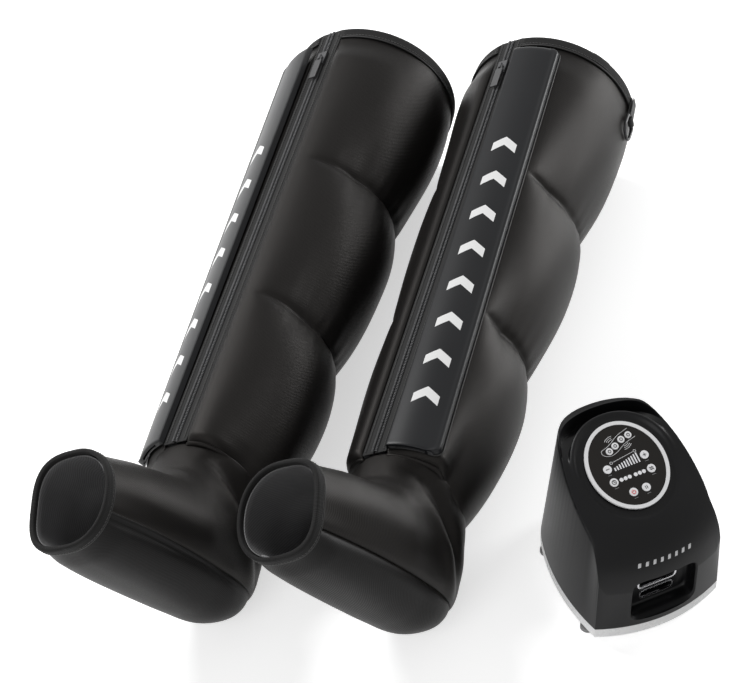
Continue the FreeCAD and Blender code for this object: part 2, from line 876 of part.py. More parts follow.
def grip_pocket(grow):
    """The curved finger hollow behind the panel."""
    centre = Y * num.panel_reach
    inner = num.grip_inner_radius - grow
    outer = num.grip_inner_radius + num.grip_width + grow
    half = math.radians(num.grip_half_angle) + grow / inner
    level = Z * (num.pump_height - num.grip_depth - grow)

    def place(radius, angle):
        return centre + level + Vector(math.sin(angle), math.cos(angle), 0) * radius

    edges = [
        Part.Arc(place(outer, -half), place(outer, 0), place(outer, half)).toShape(),
        Part.LineSegment(place(outer, half), place(inner, half)).toShape(),
        Part.Arc(place(inner, half), place(inner, 0), place(inner, -half)).toShape(),
        Part.LineSegment(place(inner, -half), place(outer, -half)).toShape(),
    ]
    return prism(Part.Wire(edges), Z * (num.grip_depth + num.overrun + grow))


panel_middle = Vector(0, num.panel_reach, slope_height(num.panel_reach))
panel_place = Placement(panel_middle, Rotation(X, num.pump_slope))
overlay_half_width = num.panel_half_width - num.panel_band
overlay_half_length = num.panel_half_length - num.panel_band


def panel_window():
    window = ellipse_prism(overlay_half_width - num.window_margin, overlay_half_length - num.window_margin,
                           -num.pump_wall - num.overrun, num.overrun)
    window.Placement = panel_place
    return window


def pad_places():
    for share in PAD_SHARES:
        y = share * half_depth
        x = side_reach(y, num.pump_wall) - num.boss_radius * BOSS_CLEAR_SHARE
        yield Vector(x, y, 0)
        yield Vector(-x, y, 0)


# The power jack sits in the round back, turned from its middle; the shell has drawn in a little at its level
jack_rise = (num.jack_level - base_top) / (num.pump_height - base_top)
jack_draw = 1 - (1 - TOP_DRAW_SHARE) * jack_rise
jack_turn = math.radians(num.jack_turn)
jack_out = Vector(math.sin(jack_turn), math.cos(jack_turn), 0)
jack_middle = Y * ((half_depth - num.pump_back_radius) * jack_draw) + Z * num.jack_level
jack_face = num.pump_back_radius * jack_draw


def pump_housing():
    ports = list(zip(port_widths, port_levels))
    room = pump_body(num.pump_wall, base_top - num.overrun)
    kept = [bay_pocket(num.pump_wall), grip_pocket(num.pump_wall)]
    kept += [port_pocket(width, level, num.pump_wall) for width, level in ports]
    opened = [bay_pocket(0), grip_pocket(0), panel_window()]
    opened += [port_pocket(width, level, 0) for width, level in ports]
    jack_start = jack_middle + jack_out * (num.pump_back_radius - num.jack_length)
    jack_run = num.jack_length + num.overrun
    opened.append(Part.makeCylinder(num.jack_radius + num.clearance, jack_run, jack_start, jack_out))
    shell = pump_body(0, base_top).cut(room.cut(kept)).cut(opened)
    for place in pad_places():
        start = place + Z * base_top
        shell = shell.fuse(Part.makeCylinder(num.boss_radius, num.boss_height, start))
        shell = shell.cut(Part.makeCylinder(num.screw_radius + num.clearance / 2, num.boss_height, start))
    return shell


def pump_base():
    wires = [
        plan_wire(num.base_edge * inset, 1, num.pad_height + num.base_edge * rise)
        for inset, rise in BASE_EDGE_SHARES
    ]
    edge = Part.makeLoft(wires, True, True)
    above = num.pad_height + num.base_edge
    body = edge.fuse(prism(plan_wire(0, 1, above), Z * (base_top - above)))
    for place in pad_places():
        head = place + Z * num.pad_height
        body = body.cut([
            Part.makeCylinder(num.screw_radius + num.clearance / 2, num.base_height + num.overrun, head),
            Part.makeCylinder(num.screw_head_radius + num.clearance, num.screw_head_height, head),
        ])
    return body


def pump_feet():
    pads = [Part.makeCylinder(num.pad_radius, num.pad_height, place) for place in pad_places()]
    return Part.makeCompound(pads)


def housing_screws():
    screws = []
    for place in pad_places():
        head = place + Z * num.pad_height
        reach = num.base_height + num.boss_height
        screw = Part.makeCylinder(num.screw_head_radius, num.screw_head_height, head)
        screws.append(screw.fuse(Part.makeCylinder(num.screw_radius, reach, head)))
    return Part.makeCompound(screws)


# Panel, in a frame on its sloping face: x across, y up the slope, z out of the face

def panel_point(share, height):
    return Vector(share[0] * num.panel_half_width, share[1] * num.panel_half_length, height)


def button_radius(name):
    return dim.zone_button_radius if name.startswith("zone") else dim.button_radius


def panel_ring():
    height = num.panel_ring_height
    gap = num.clearance / 2
    ring = ellipse_prism(num.panel_half_width, num.panel_half_length, 0, height)
    return ring.cut(ellipse_prism(overlay_half_width + gap, overlay_half_length + gap, 0, height))


def panel_overlay():
    height = num.overlay_height
    gap = num.clearance / 2
    plate = ellipse_prism(overlay_half_width, overlay_half_length, 0, height)
    holes = [
        Part.makeCylinder(float(button_radius(name)) + gap, height, panel_point(share, 0))
        for name, share in BUTTON_SHARES.items()
    ]
    return plate.cut(holes)


def indicator_lights():
    face = num.overlay_height
    lights = [
        Part.makeCylinder(num.light_radius, num.light_height, panel_point((share, DOT_ROW_SHARE), face))
        for share in DOT_SHARES
    ]
    for index in range(BAR_COUNT):
        step = index / (BAR_COUNT - 1)
        corner = panel_point((BAR_SPAN_SHARE * (2 * step - 1), BAR_FOOT_SHARE), face)
        corner.x -= num.bar_width / 2
        height = num.bar_low + (num.bar_high - num.bar_low) * step
        lights.append(Part.makeBox(num.bar_width, height, num.light_height, corner))
    return Part.makeCompound(lights)


button_low = dim.button_travel + dim.clearance - dim.pump_wall
button_height = dim.overlay_height + dim.button_proud - button_low


def display_board():
    width = (dim.panel_half_width - dim.panel_band - dim.window_margin + dim.board_margin) * 2
    length = (dim.panel_half_length - dim.panel_band - dim.window_margin + dim.board_margin) * 2
    under = -(dim.pump_wall + dim.board_thickness)
    return middle_box(width, length, dim.board_thickness, -(length / 2), under)


# Ports and the inside of the pump

def port_trims():
    face = bay_back - num.trim_height
    along = Y * num.trim_height
    edge = 2 * num.trim_width
    middle = num.port_level - num.port_pitch / 2
    corner = num.port_corner + num.trim_width
    pair = prism(rectangle_wire(Vector(0, face, middle), X, Z, num.port_width + edge,
                                num.port_height + num.port_pitch + edge, corner), along)
    small_height = num.port_height + edge
    small = prism(rectangle_wire(Vector(0, face, port_levels[2]), X, Z, num.small_port_width + edge,
                                 small_height, corner), along)
    openings = [port_pocket(width, level, 0) for width, level in zip(port_widths, port_levels)]
    return Part.makeCompound([pair.cut(openings), small.cut(openings)])


def nozzle_blocks():
    blocks = []
    end = bay_back + num.port_depth
    gap = 2 * num.clearance
    for width, level in zip(port_widths, port_levels):
        start = Vector(0, end - num.nozzle_height, level)
        outline = rectangle_wire(start, X, Z, width - gap, num.port_height - gap, num.port_corner)
        block = prism(outline, Y * num.nozzle_height)
        half = width / 2
        holes = [
            Part.makeCylinder(num.nozzle_radius, num.nozzle_height, start + X * (half * share), Y)
            for share in NOZZLE_SHARES
        ]
        blocks.append(block.cut(holes))
    return Part.makeCompound(blocks)


pump_floor = dim.pad_height + dim.base_height


def compressor():
    width = dim.compressor_width
    body = middle_box(width, dim.compressor_depth, dim.compressor_height, dim.compressor_reach, pump_floor)
    middle = dim.compressor_reach + dim.compressor_depth / 2
    top = pump_floor + dim.compressor_height
    motor = cylinder(dim.motor_radius, width, -(width / 2), middle, top, X)
    return fuse(body, motor)


def valve_block():
    body = middle_box(dim.valve_width, dim.valve_depth, dim.valve_height, dim.valve_reach, pump_floor)
    middle = dim.valve_reach + dim.valve_depth / 2
    top = pump_floor + dim.valve_height
    solenoids = [
        cylinder(dim.solenoid_radius, dim.solenoid_height, dim.valve_width * share, middle, top)
        for share in SOLENOID_SHARES
    ]
    return fuse(body, *solenoids)


def main_board():
    width = dim.main_board_width
    return middle_box(width, dim.board_thickness, dim.main_board_height, dim.main_board_reach, pump_floor)


def power_inlet():
    face = jack_face + num.jack_gap
    start = jack_middle + jack_out * (face - num.jack_length)
    body = Part.makeCylinder(num.jack_radius, num.jack_length, start, jack_out)
    seat = jack_middle + jack_out * face
    flange = Part.makeCylinder(num.jack_flange_radius, num.jack_flange_height, seat, jack_out)
    bore_end = seat + jack_out * (num.jack_flange_height - num.jack_bore_depth)
    bore = Part.makeCylinder(num.jack_bore_radius, num.jack_bore_depth, bore_end, jack_out)
    return body.fuse(flange).cut(bore)


# How the set lies: each boot rolled on its back, its heel and its thigh on the floor

roll = math.radians(num.boot_roll)
rolled = Placement(FreeCAD.Matrix(
    -math.cos(roll), -math.sin(roll), 0, 0,
    0, 0, 1, 0,
    -math.sin(roll), math.cos(roll), 0, 0,
))


def lowest(shape, rise):
    laid = shape.copy()
    laid.Placement = Placement(Vector(), Rotation(X, rise)) * rolled
    return laid.optimalBoundingBox().ZMin


def resting_rise(foot, leg):
    """The tilt at which the heel and the thigh are equally low, found by the secant rule."""
    tilts = list(FIRST_TILTS)
    gaps = [lowest(foot, tilt) - lowest(leg, tilt) for tilt in tilts]
    while abs(gaps[-1]) > num.clearance * REST_SHARE:
        step = gaps[-1] * (tilts[-1] - tilts[-2]) / (gaps[-1] - gaps[-2])
        tilts.append(tilts[-1] - step)
        gaps.append(lowest(foot, tilts[-1]) - lowest(leg, tilts[-1]))
    return tilts[-1]


upper, sole, foot_air = foot_pieces()
plain_leg = leg_cover([])
doc.recompute()
rise = resting_rise(upper.fuse(sole), plain_leg.Shape)
lift = -lowest(plain_leg.Shape, rise)
lying = Placement(Vector(0, 0, lift), Rotation(X, rise)) * rolled

zipper_start = Vector(0, num.zipper_low_reach, num.zipper_bottom_level)
zipper_place = Placement(zipper_start, Rotation(X, -zipper_tilt))
slider_place = zipper_place * Placement(Z * (float(zipper_length) - num.slider_rest), Rotation())
left_boot = Placement(Vector(num.boot_spacing / 2, num.boot_stagger, 0), Rotation()) * lying
right_boot = Placement(Vector(-num.boot_spacing / 2, 0, 0), Rotation()) * lying
pump_corner = Vector(num.boot_spacing / 2 + num.pump_offset, num.boot_stagger + num.pump_advance, 0)
pump_place = Placement(pump_corner, Rotation(Z, num.pump_turn))


def hem_turn(side):
    return Placement(Vector(), Rotation(Z, -side * num.ring_angle))


def ring_place(side):
    return hem_turn(side) * Placement(Vector(0, float(eye_reach), float(eye_level)), Rotation())


def add_boot(name, side, place):
    ports = air_ports(side)
    node(name + "leg_cover", leg_cover(ports), place)
    node(name + "foot_cover", feature(upper), place)
    node(name + "sole_panel", feature(sole), place)
    node(name + "lining", lining(), place)
    node(name + "foot_bladder", feature(foot_air), place)
    ankle = (dim.ankle_level, dim.ankle_radius)
    lower_crease = (dim.lower_crease_level, dim.lower_crease_radius)
    upper_crease = (dim.upper_crease_level, dim.upper_crease_radius)
    flare = (flare_level, chord_radius(flare_level))
    node(name + "calf_bladder", air_cell(ankle, lower_crease, dim.calf_swell, ports), place)
    node(name + "knee_bladder", air_cell(lower_crease, upper_crease, dim.knee_swell, ports), place)
    thigh_swell = dim.thigh_swell * flare_share()
    node(name + "thigh_bladder", air_cell(upper_crease, flare, thigh_swell, ports), place)
    node(name + "top_binding", top_binding(ring_loop(hem_turn(side))), place)
    node(name + "toe_binding", feature(toe_binding()), place)
    node(name + "zipper_tapes", zipper_tapes(), place * zipper_place)
    node(name + "zipper_coil", zipper_coil(), place * zipper_place)
    node(name + "zipper_slider", zipper_slider(), place * slider_place)
    node(name + "pull_tab", pull_tab(), place * slider_place)
    node(name + "placket", placket(side), place)
    node(name + "d_ring", feature(d_ring()), place * ring_place(side))
    node(name + "air_inlet", air_inlet(side), place)
    node(name + "air_tubes", feature(air_tubes(side)), place)


def add_pump():
    face = pump_place * panel_place
    node("pump_housing", feature(pump_housing()), pump_place)
    node("pump_base", feature(pump_base()), pump_place)
    node("pump_feet", feature(pump_feet()), pump_place)
    node("housing_screws", feature(housing_screws()), pump_place)
    node("panel_ring", feature(panel_ring()), face)
    node("panel_overlay", feature(panel_overlay()), face)
    node("indicator_lights", feature(indicator_lights()), face)
    node("display_board", placed(display_board()), face)
    for name, share in BUTTON_SHARES.items():
        place = face * Placement(panel_point(share, float(button_low)), Rotation())
        node(name, placed(cylinder(button_radius(name), button_height)), place)
    node("port_trims", feature(port_trims()), pump_place)
    node("nozzle_blocks", feature(nozzle_blocks()), pump_place)
    node("compressor", compressor(), pump_place)
    node("valve_block", valve_block(), pump_place)
    node("main_board", placed(main_board()), pump_place)
    node("power_inlet", feature(power_inlet()), pump_place)


add_boot("left_", -1, left_boot)
add_boot("right_", 1, right_boot)
add_pump()
doc.recompute()

# The whole set over the origin, each piece checked and written

extents = []
for item, placement in nodes.values():
    item.Placement = placement
doc.recompute()
for name, (item, placement) in nodes.items():
    states = [other.State for other in (item, *item.OutListRecursive)]
    failed = any("Invalid" in state or "Error" in state for state in states)
    if failed or item.Shape.isNull() or not item.Shape.isValid():
        raise RuntimeError(f"{name} did not build")
    extents.append(item.Shape.optimalBoundingBox())
low = Vector(*[min(getattr(extent, side) for extent in extents) for side in ("XMin", "YMin", "ZMin")])
high = Vector(*[max(getattr(extent, side) for extent in extents) for side in ("XMax", "YMax", "ZMax")])
centring = Placement(Vector(-(low.x + high.x) / 2, -(low.y + high.y) / 2, -low.z), Rotation())
os.makedirs("parts", exist_ok=True)
for name, (item, placement) in nodes.items():
    item.Placement = centring * placement
doc.recompute()
for name, (item, placement) in nodes.items():
    item.Shape.exportStep(f"parts/{name}.step")
size = high - low
print(f"{len(nodes)} pieces, {size.x:.1f} x {size.y:.1f} x {size.z:.1f} mm, legs rise {rise:.2f} degrees")
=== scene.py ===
import json
import math

import bmesh
import bpy
import numpy as np
from mathutils import Matrix


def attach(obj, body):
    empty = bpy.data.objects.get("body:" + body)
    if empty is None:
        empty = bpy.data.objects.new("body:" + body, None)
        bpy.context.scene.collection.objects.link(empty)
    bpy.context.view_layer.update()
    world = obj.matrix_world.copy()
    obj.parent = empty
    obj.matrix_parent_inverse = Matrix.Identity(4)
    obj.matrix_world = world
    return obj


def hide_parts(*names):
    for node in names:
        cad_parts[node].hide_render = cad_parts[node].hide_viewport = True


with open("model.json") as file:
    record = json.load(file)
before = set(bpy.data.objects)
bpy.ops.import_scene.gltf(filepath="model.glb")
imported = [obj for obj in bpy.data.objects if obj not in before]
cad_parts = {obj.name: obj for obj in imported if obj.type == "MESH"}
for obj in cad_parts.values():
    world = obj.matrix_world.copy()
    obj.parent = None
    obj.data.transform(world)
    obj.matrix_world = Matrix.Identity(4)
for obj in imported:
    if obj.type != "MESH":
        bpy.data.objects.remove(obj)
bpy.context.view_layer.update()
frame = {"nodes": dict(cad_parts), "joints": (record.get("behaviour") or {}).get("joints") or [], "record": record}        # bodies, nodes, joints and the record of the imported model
nodes = frame["nodes"]
joints = {joint["name"]: joint for joint in frame["joints"]}
mounts = {mount["name"]: mount for mount in frame["record"]["mounts"]}
mm = 0.001
fullTurn = 2 * math.pi
print("frame loaded:", len(nodes), "nodes")


class Wire:
    # one shader socket; arithmetic on it adds Math nodes, node() adds any other
    def __init__(self, tree, socket=None):
        self.tree, self.socket = tree, socket

    def put(self, target, value):
        if isinstance(value, Wire):
            self.tree.links.new(value.socket, target)
        else:
            target.default_value = value

    def node(self, kind, settings=None, sockets=None, out=0):
        made = self.tree.nodes.new("ShaderNode" + kind)
        for name, value in (settings or {}).items():
            setattr(made, name, value)
        for key, value in (sockets or {}).items():
            self.put(made.inputs[key], value)
        return Wire(self.tree, made.outputs[out])

    def maths(self, operation, first, second=None):
        sockets = {0: first} if second is None else {0: first, 1: second}
        return self.node("Math", {"operation": operation}, sockets)

    def __add__(self, other):
        return self.maths("ADD", self, other)

    def __radd__(self, other):
        return self.maths("ADD", other, self)

    def __sub__(self, other):
        return self.maths("SUBTRACT", self, other)

    def __rsub__(self, other):
        return self.maths("SUBTRACT", other, self)

    def __mul__(self, other):
        return self.maths("MULTIPLY", self, other)

    def __rmul__(self, other):
        return self.maths("MULTIPLY", other, self)

    def __truediv__(self, other):
        return self.maths("DIVIDE", self, other)

    def __gt__(self, other):
        return self.maths("GREATER_THAN", self, other)

    def __lt__(self, other):
        return self.maths("LESS_THAN", self, other)

    def sine(self):
        return self.maths("SINE", self)

    def size(self):
        return self.maths("ABSOLUTE", self)

    def wrapped(self):
        return self.maths("FRACT", self)

    def split(self):
        return [self.node("SeparateXYZ", None, {0: self}, index) for index in range(3)]

    def blend(self, low, high):
        # between two colours, each a wire or red, green and blue
        low, high = (side if isinstance(side, Wire) else (*side, 1.0) for side in (low, high))
        return self.node("Mix", {"data_type": "RGBA"}, {0: self, 6: low, 7: high}, 2)


def weighted(waves, shares):
    # sum of the waves, each times its share
    total = waves[0] * shares[0]
    for wave, share in zip(waves[1:], shares[1:]):
        total = total + wave * share
    return total


def makeFinish(name, paint, **fixed):
    # fixed values sit on the shader's sockets, with _ for a space; paint gives what changes over the surface
    material = bpy.data.materials.new(name)
    material.use_nodes = True
    shader = material.node_tree.nodes["Principled BSDF"]
    for key, value in fixed.items():
        shader.inputs[key.replace("_", " ")].default_value = value
    start = Wire(material.node_tree)
    for key, value in paint(start).items():
        start.put(shader.inputs[key], value)
    return material


def grain(start, scale, detail=3.0):
    # noise on the piece's own coordinates
    place = start.node("TexCoord", out="Object")
    return start.node("TexNoise", None, {"Vector": place, "Scale": scale, "Detail": detail})


def bumped(height, strength, distance):
    return height.node("Bump", None, {"Height": height, "Strength": strength, "Distance": distance})


# shares of ribs, threads and stains in the tone, and of ribs, threads and grain in the relief
weave = {"tones": (0.22, 0.06, 0.45), "lowest": 0.2, "rises": (0.6, 0.25, 0.7), "depth": 0.00025,
         "slowScale": 9.0, "fineScale": 700.0, "fineRough": 0.16, "ribRough": 0.04}


def twillPaint(dark, light, rough, pitch, lift):
    # diagonal ribs from the sum of the two lengths on the cloth, with slow stains of lighter thread
    def paint(start):
        across, along, _ = start.node("TexCoord", out="UV").split()
        ribs = ((across + along) * (fullTurn / pitch)).sine()
        threads = ((across - along) * (fullTurn / pitch * 2)).sine()
        slow, fine = grain(start, weave["slowScale"]), grain(start, weave["fineScale"], 2.0)
        tone = weighted((ribs, threads, slow), weave["tones"]) + weave["lowest"]
        return {
            "Base Color": tone.blend(dark, light),
            "Roughness": rough + fine * weave["fineRough"] - ribs * weave["ribRough"],
            "Normal": bumped(weighted((ribs, threads, fine), weave["rises"]), lift, weave["depth"]),
        }
    return paint


coverFinish = makeFinish(
    "coverSatin", twillPaint((0.0018, 0.0017, 0.0017), (0.007, 0.0064, 0.0062), 0.34, 0.0024, 0.35),
    Sheen_Weight=0.03, Sheen_Roughness=0.3, Sheen_Tint=(1.0, 0.93, 0.88, 1.0),
    Specular_IOR_Level=0.15, Specular_Tint=(1.0, 0.94, 0.89, 1.0))
soleFinish = makeFinish(
    "soleCloth", twillPaint((0.002, 0.0019, 0.0019), (0.007, 0.0066, 0.0065), 0.4, 0.003, 0.3),
    Sheen_Weight=0.04, Sheen_Roughness=0.35, Sheen_Tint=(1.0, 0.94, 0.9, 1.0), Specular_IOR_Level=0.13)
liningFinish = makeFinish(
    "liningWeave", twillPaint((0.05, 0.05, 0.051), (0.15, 0.148, 0.15), 0.34, 0.0034, 0.35),
    Sheen_Weight=0.1, Sheen_Roughness=0.4, Specular_IOR_Level=0.35)
insoleFinish = makeFinish(
    "insoleFelt", twillPaint((0.14, 0.14, 0.143), (0.28, 0.28, 0.285), 0.6, 0.0028, 0.3),
    Sheen_Weight=0.15, Sheen_Roughness=0.5, Specular_IOR_Level=0.25)

# shares of ribs, cross threads and grain
tape = {"tones": (0.2, 0.12, 0.5), "lowest": 0.2, "rises": (0.5, 0.3, 0.5), "lift": 0.5, "depth": 0.0003,
        "crossPitch": 1.5, "fineScale": 420.0, "fineRough": 0.15}


def ribbedPaint(dark, light, rough, pitch, coordinate="UV"):
    # cross ribs of a woven tape, one per pitch along its length
    def paint(start):
        across, along, _ = start.node("TexCoord", out=coordinate).split()
        ribs = (along * (fullTurn / pitch)).sine()
        cross = (across * (fullTurn / (pitch * tape["crossPitch"]))).sine()
        fine = grain(start, tape["fineScale"])
        return {
            "Base Color": (weighted((ribs, cross, fine), tape["tones"]) + tape["lowest"]).blend(dark, light),
            "Roughness": rough + fine * tape["fineRough"],
            "Normal": bumped(weighted((ribs, cross, fine), tape["rises"]), tape["lift"], tape["depth"]),
        }
    return paint


bindingFinish = makeFinish(
    "bindingTape", ribbedPaint((0.005, 0.005, 0.005), (0.015, 0.0145, 0.0145), 0.62, 0.0016),
    Sheen_Weight=0.03, Specular_IOR_Level=0.12)
tapeFinish = makeFinish(
    "zipperTape", ribbedPaint((0.006, 0.006, 0.006), (0.018, 0.018, 0.018), 0.66, 0.002, "Object"),
    Specular_IOR_Level=0.25)
webbingFinish = makeFinish(
    "ringWebbing", ribbedPaint((0.008, 0.008, 0.008), (0.03, 0.03, 0.03), 0.6, 0.0022),
    Sheen_Weight=0.08, Specular_IOR_Level=0.3)

# shares of the slow and the fine grain
skin = {"tones": (0.6, 0.3), "roughs": (0.08, 0.06), "slowScale": 14.0, "depth": 0.0002}


def moulded(name, dark, light, rough, scale=900.0, lift=0.12, **fixed):
    # fine moulded grain with slow shade changes and worn, slightly duller patches
    def paint(start):
        waves = grain(start, skin["slowScale"]), grain(start, scale, 4.0)
        return {
            "Base Color": weighted(waves, skin["tones"]).blend(dark, light),
            "Roughness": weighted(waves, skin["roughs"]) + rough,
            "Normal": bumped(waves[1], lift, skin["depth"]),
        }
    return makeFinish(name, paint, **fixed)


coilFinish = moulded("nylonCoil", (0.05, 0.05, 0.052), (0.13, 0.13, 0.135), 0.42)
sliderFinish = moulded("sliderEnamel", (0.05, 0.05, 0.052), (0.1, 0.1, 0.105), 0.3, Metallic=0.6)
pullFinish = moulded("pullRubber", (0.03, 0.03, 0.031), (0.06, 0.06, 0.062), 0.5, 500.0, 0.25)
ringFinish = moulded("ringEnamel", (0.012, 0.012, 0.013), (0.03, 0.03, 0.032), 0.3, Metallic=0.3)
inletFinish = moulded("inletPlastic", (0.03, 0.03, 0.031), (0.06, 0.06, 0.062), 0.5)
tubeFinish = moulded("airTube", (0.3, 0.3, 0.32), (0.45, 0.45, 0.47), 0.4)
cellFinish = moulded("airCellFilm", (0.14, 0.14, 0.155), (0.22, 0.22, 0.24), 0.3, 60.0, 0.3)
threadFinish = moulded("sewingThread", (0.05, 0.05, 0.05), (0.1, 0.098, 0.095), 0.6, 1200.0, 0.4)
pipingFinish = moulded("edgePiping", (0.006, 0.006, 0.006), (0.018, 0.0175, 0.017), 0.42, 700.0, 0.3,
                       Specular_IOR_Level=0.3)

coat = {"dark": (0.004, 0.0042, 0.005), "light": (0.010, 0.0105, 0.012), "inkDark": (0.62, 0.62, 0.62),
        "inkLight": (0.74, 0.74, 0.735), "tones": (0.7, 0.2), "inkTones": (0.8, 0.1), "rough": 0.3,
        "roughs": (0.12, 0.05), "slowScale": 6.0, "fineScale": 1100.0, "lift": 0.1, "depth": 0.00015}
markRow = {"middle": 0.0265, "half": 0.0125, "low": 0.175, "pitch": 0.058, "lean": 0.9, "thick": 0.24,
           "count": 8.0}


def clearStrip(start):
    # smooth coated strip: very fine grain, slow sheen changes, and pale chevrons set along it
    across, along, _ = start.node("TexCoord", out="UV").split()
    waves = grain(start, coat["slowScale"]), grain(start, coat["fineScale"], 2.0)
    plain = weighted(waves, coat["tones"]).blend(coat["dark"], coat["light"])
    inked = (waves[1] * coat["inkTones"][0] + coat["inkTones"][1]).blend(coat["inkDark"], coat["inkLight"])
    aside = (across - markRow["middle"]).size()
    step = (along - markRow["low"] + aside * markRow["lean"]) / markRow["pitch"]
    inRow = (step > 0.0) * (step < markRow["count"]) * (aside < markRow["half"])
    mark = (step.wrapped() < markRow["thick"]) * inRow
    return {
        "Base Color": mark.blend(plain, inked),
        "Roughness": weighted(waves, coat["roughs"]) + coat["rough"],
        "Normal": bumped(waves[1], coat["lift"], coat["depth"]),
    }


placketFinish = makeFinish("placketCoat", clearStrip, Specular_IOR_Level=0.2)

housingFinish = moulded("housingSatin", (0.002, 0.002, 0.0023), (0.005, 0.005, 0.0056), 0.28, 1500.0, 0.05,
                        Specular_IOR_Level=0.16)
baseFinish = moulded("baseGloss", (0.85, 0.85, 0.855), (0.88, 0.88, 0.88), 0.2, 300.0, 0.0)
padFinish = moulded("footRubber", (0.2, 0.2, 0.2), (0.3, 0.3, 0.3), 0.6)
screwFinish = moulded("screwSteel", (0.45, 0.45, 0.46), (0.6, 0.6, 0.61), 0.35, Metallic=1.0)
trimFinish = moulded("panelTrim", (0.72, 0.72, 0.73), (0.82, 0.82, 0.83), 0.2, 300.0, 0.02)
panelFinish = moulded("panelGloss", (0.004, 0.003, 0.0022), (0.009, 0.007, 0.0055), 0.1, 200.0, 0.0,
                      Specular_IOR_Level=0.2)
lightFinish = moulded("panelLight", (0.8, 0.8, 0.82), (0.88, 0.88, 0.9), 0.3)
buttonFinish = moulded("buttonGloss", (0.78, 0.78, 0.8), (0.86, 0.86, 0.87), 0.25, 300.0, 0.02)
boardFinish = moulded("circuitBoard", (0.01, 0.1, 0.04), (0.02, 0.16, 0.06), 0.4, 200.0)
chromeFinish = moulded("portChrome", (0.6, 0.6, 0.62), (0.75, 0.75, 0.77), 0.14, 600.0, 0.02, Metallic=1.0)
nozzleFinish = moulded("nozzlePlastic", (0.2, 0.2, 0.21), (0.32, 0.32, 0.33), 0.45)
combFinish = moulded("combPlastic", (0.34, 0.34, 0.35), (0.46, 0.46, 0.47), 0.4)
castFinish = moulded("compressorCast", (0.35, 0.35, 0.36), (0.5, 0.5, 0.52), 0.45, 300.0, 0.3, Metallic=1.0)
inkFinish = moulded("panelInk", (0.55, 0.55, 0.56), (0.68, 0.68, 0.69), 0.4)
labelFinish = moulded("panelLabel", (0.16, 0.16, 0.165), (0.24, 0.24, 0.245), 0.45)
glyphFinish = moulded("buttonGlyph", (0.015, 0.015, 0.016), (0.035, 0.035, 0.037), 0.45)
powerFinish = moulded("powerGlyph", (0.5, 0.02, 0.02), (0.62, 0.035, 0.03), 0.4)
print("finishes ready")


def smoothStep(low, high, value):
    # 0 up to low, 1 from high on, an S-shaped cubic between
    share = np.clip((value - low) / (high - low), 0, 1)
    return share * share * (3 - 2 * share)


def quarterRound(share):
    # a quarter circle: steep at 0, level from 1 on
    return np.sqrt(np.clip(1 - (1 - np.clip(share, 0, 1)) ** 2, 0, 1))


def easedIn(least, share):
    # from least up to 1 along a quarter circle
    return least + (1 - least) * quarterRound(share)


def bell(offset, width):
    # 1 in the middle, fading with the square of the distance
    return np.exp(-(offset / width) ** 2)


def bent(value, power):
    # a power of the size, with the sign kept
    return np.sign(value) * np.abs(value) ** power


def unit(vectors):
    return vectors / np.linalg.norm(vectors, axis=-1, keepdims=True)


def turnsOf(count):
    return np.linspace(0, fullTurn, count, endpoint=False)


def laid(across, along):
    # lengths on the surface in metres, for the UV map: a turnLength below is metres for each radian,
    # a stationLength for each station of the foot and a sideLength for each point of a section
    return np.stack(np.broadcast_arrays(across, along), -1)


def inFrame(origin, axes, *parts):
    # millimetres along three axes, from an origin in metres
    return origin + np.stack(np.broadcast_arrays(*parts), -1) @ axes * mm


def gridQuads(rows, cols, closeRows, closeCols, flip, start):
    # four corners of every cell of a grid of points, wrapped where it closes
    i, j = np.meshgrid(np.arange(rows - (not closeRows)), np.arange(cols - (not closeCols)), indexing="ij")
    down, right = (i + 1) % rows, (j + 1) % cols
    quads = np.stack([i * cols + j, down * cols + j, down * cols + right, i * cols + right], -1).reshape(-1, 4)
    return (quads[:, ::-1] if flip else quads) + start


def form(points, finish=0, closeRows=False, closeCols=False, flip=False, caps=False, lengths=None):
    # one grid of points (rows, columns, 3) in metres, with its own lengths on the surface as UV
    lengths = np.zeros(points.shape[:2] + (2,)) if lengths is None else lengths
    return {"points": points, "finish": finish, "closeRows": closeRows, "closeCols": closeCols,
            "flip": flip, "caps": caps, "lengths": lengths}


def rod(points, finish=0, lengths=None):
    # closed round its length and capped at both ends
    return form(points, finish, closeCols=True, caps=True, lengths=lengths)


def hoop(points, finish=0, lengths=None):
    # closed both ways
    return form(points, finish, closeRows=True, closeCols=True, lengths=lengths)


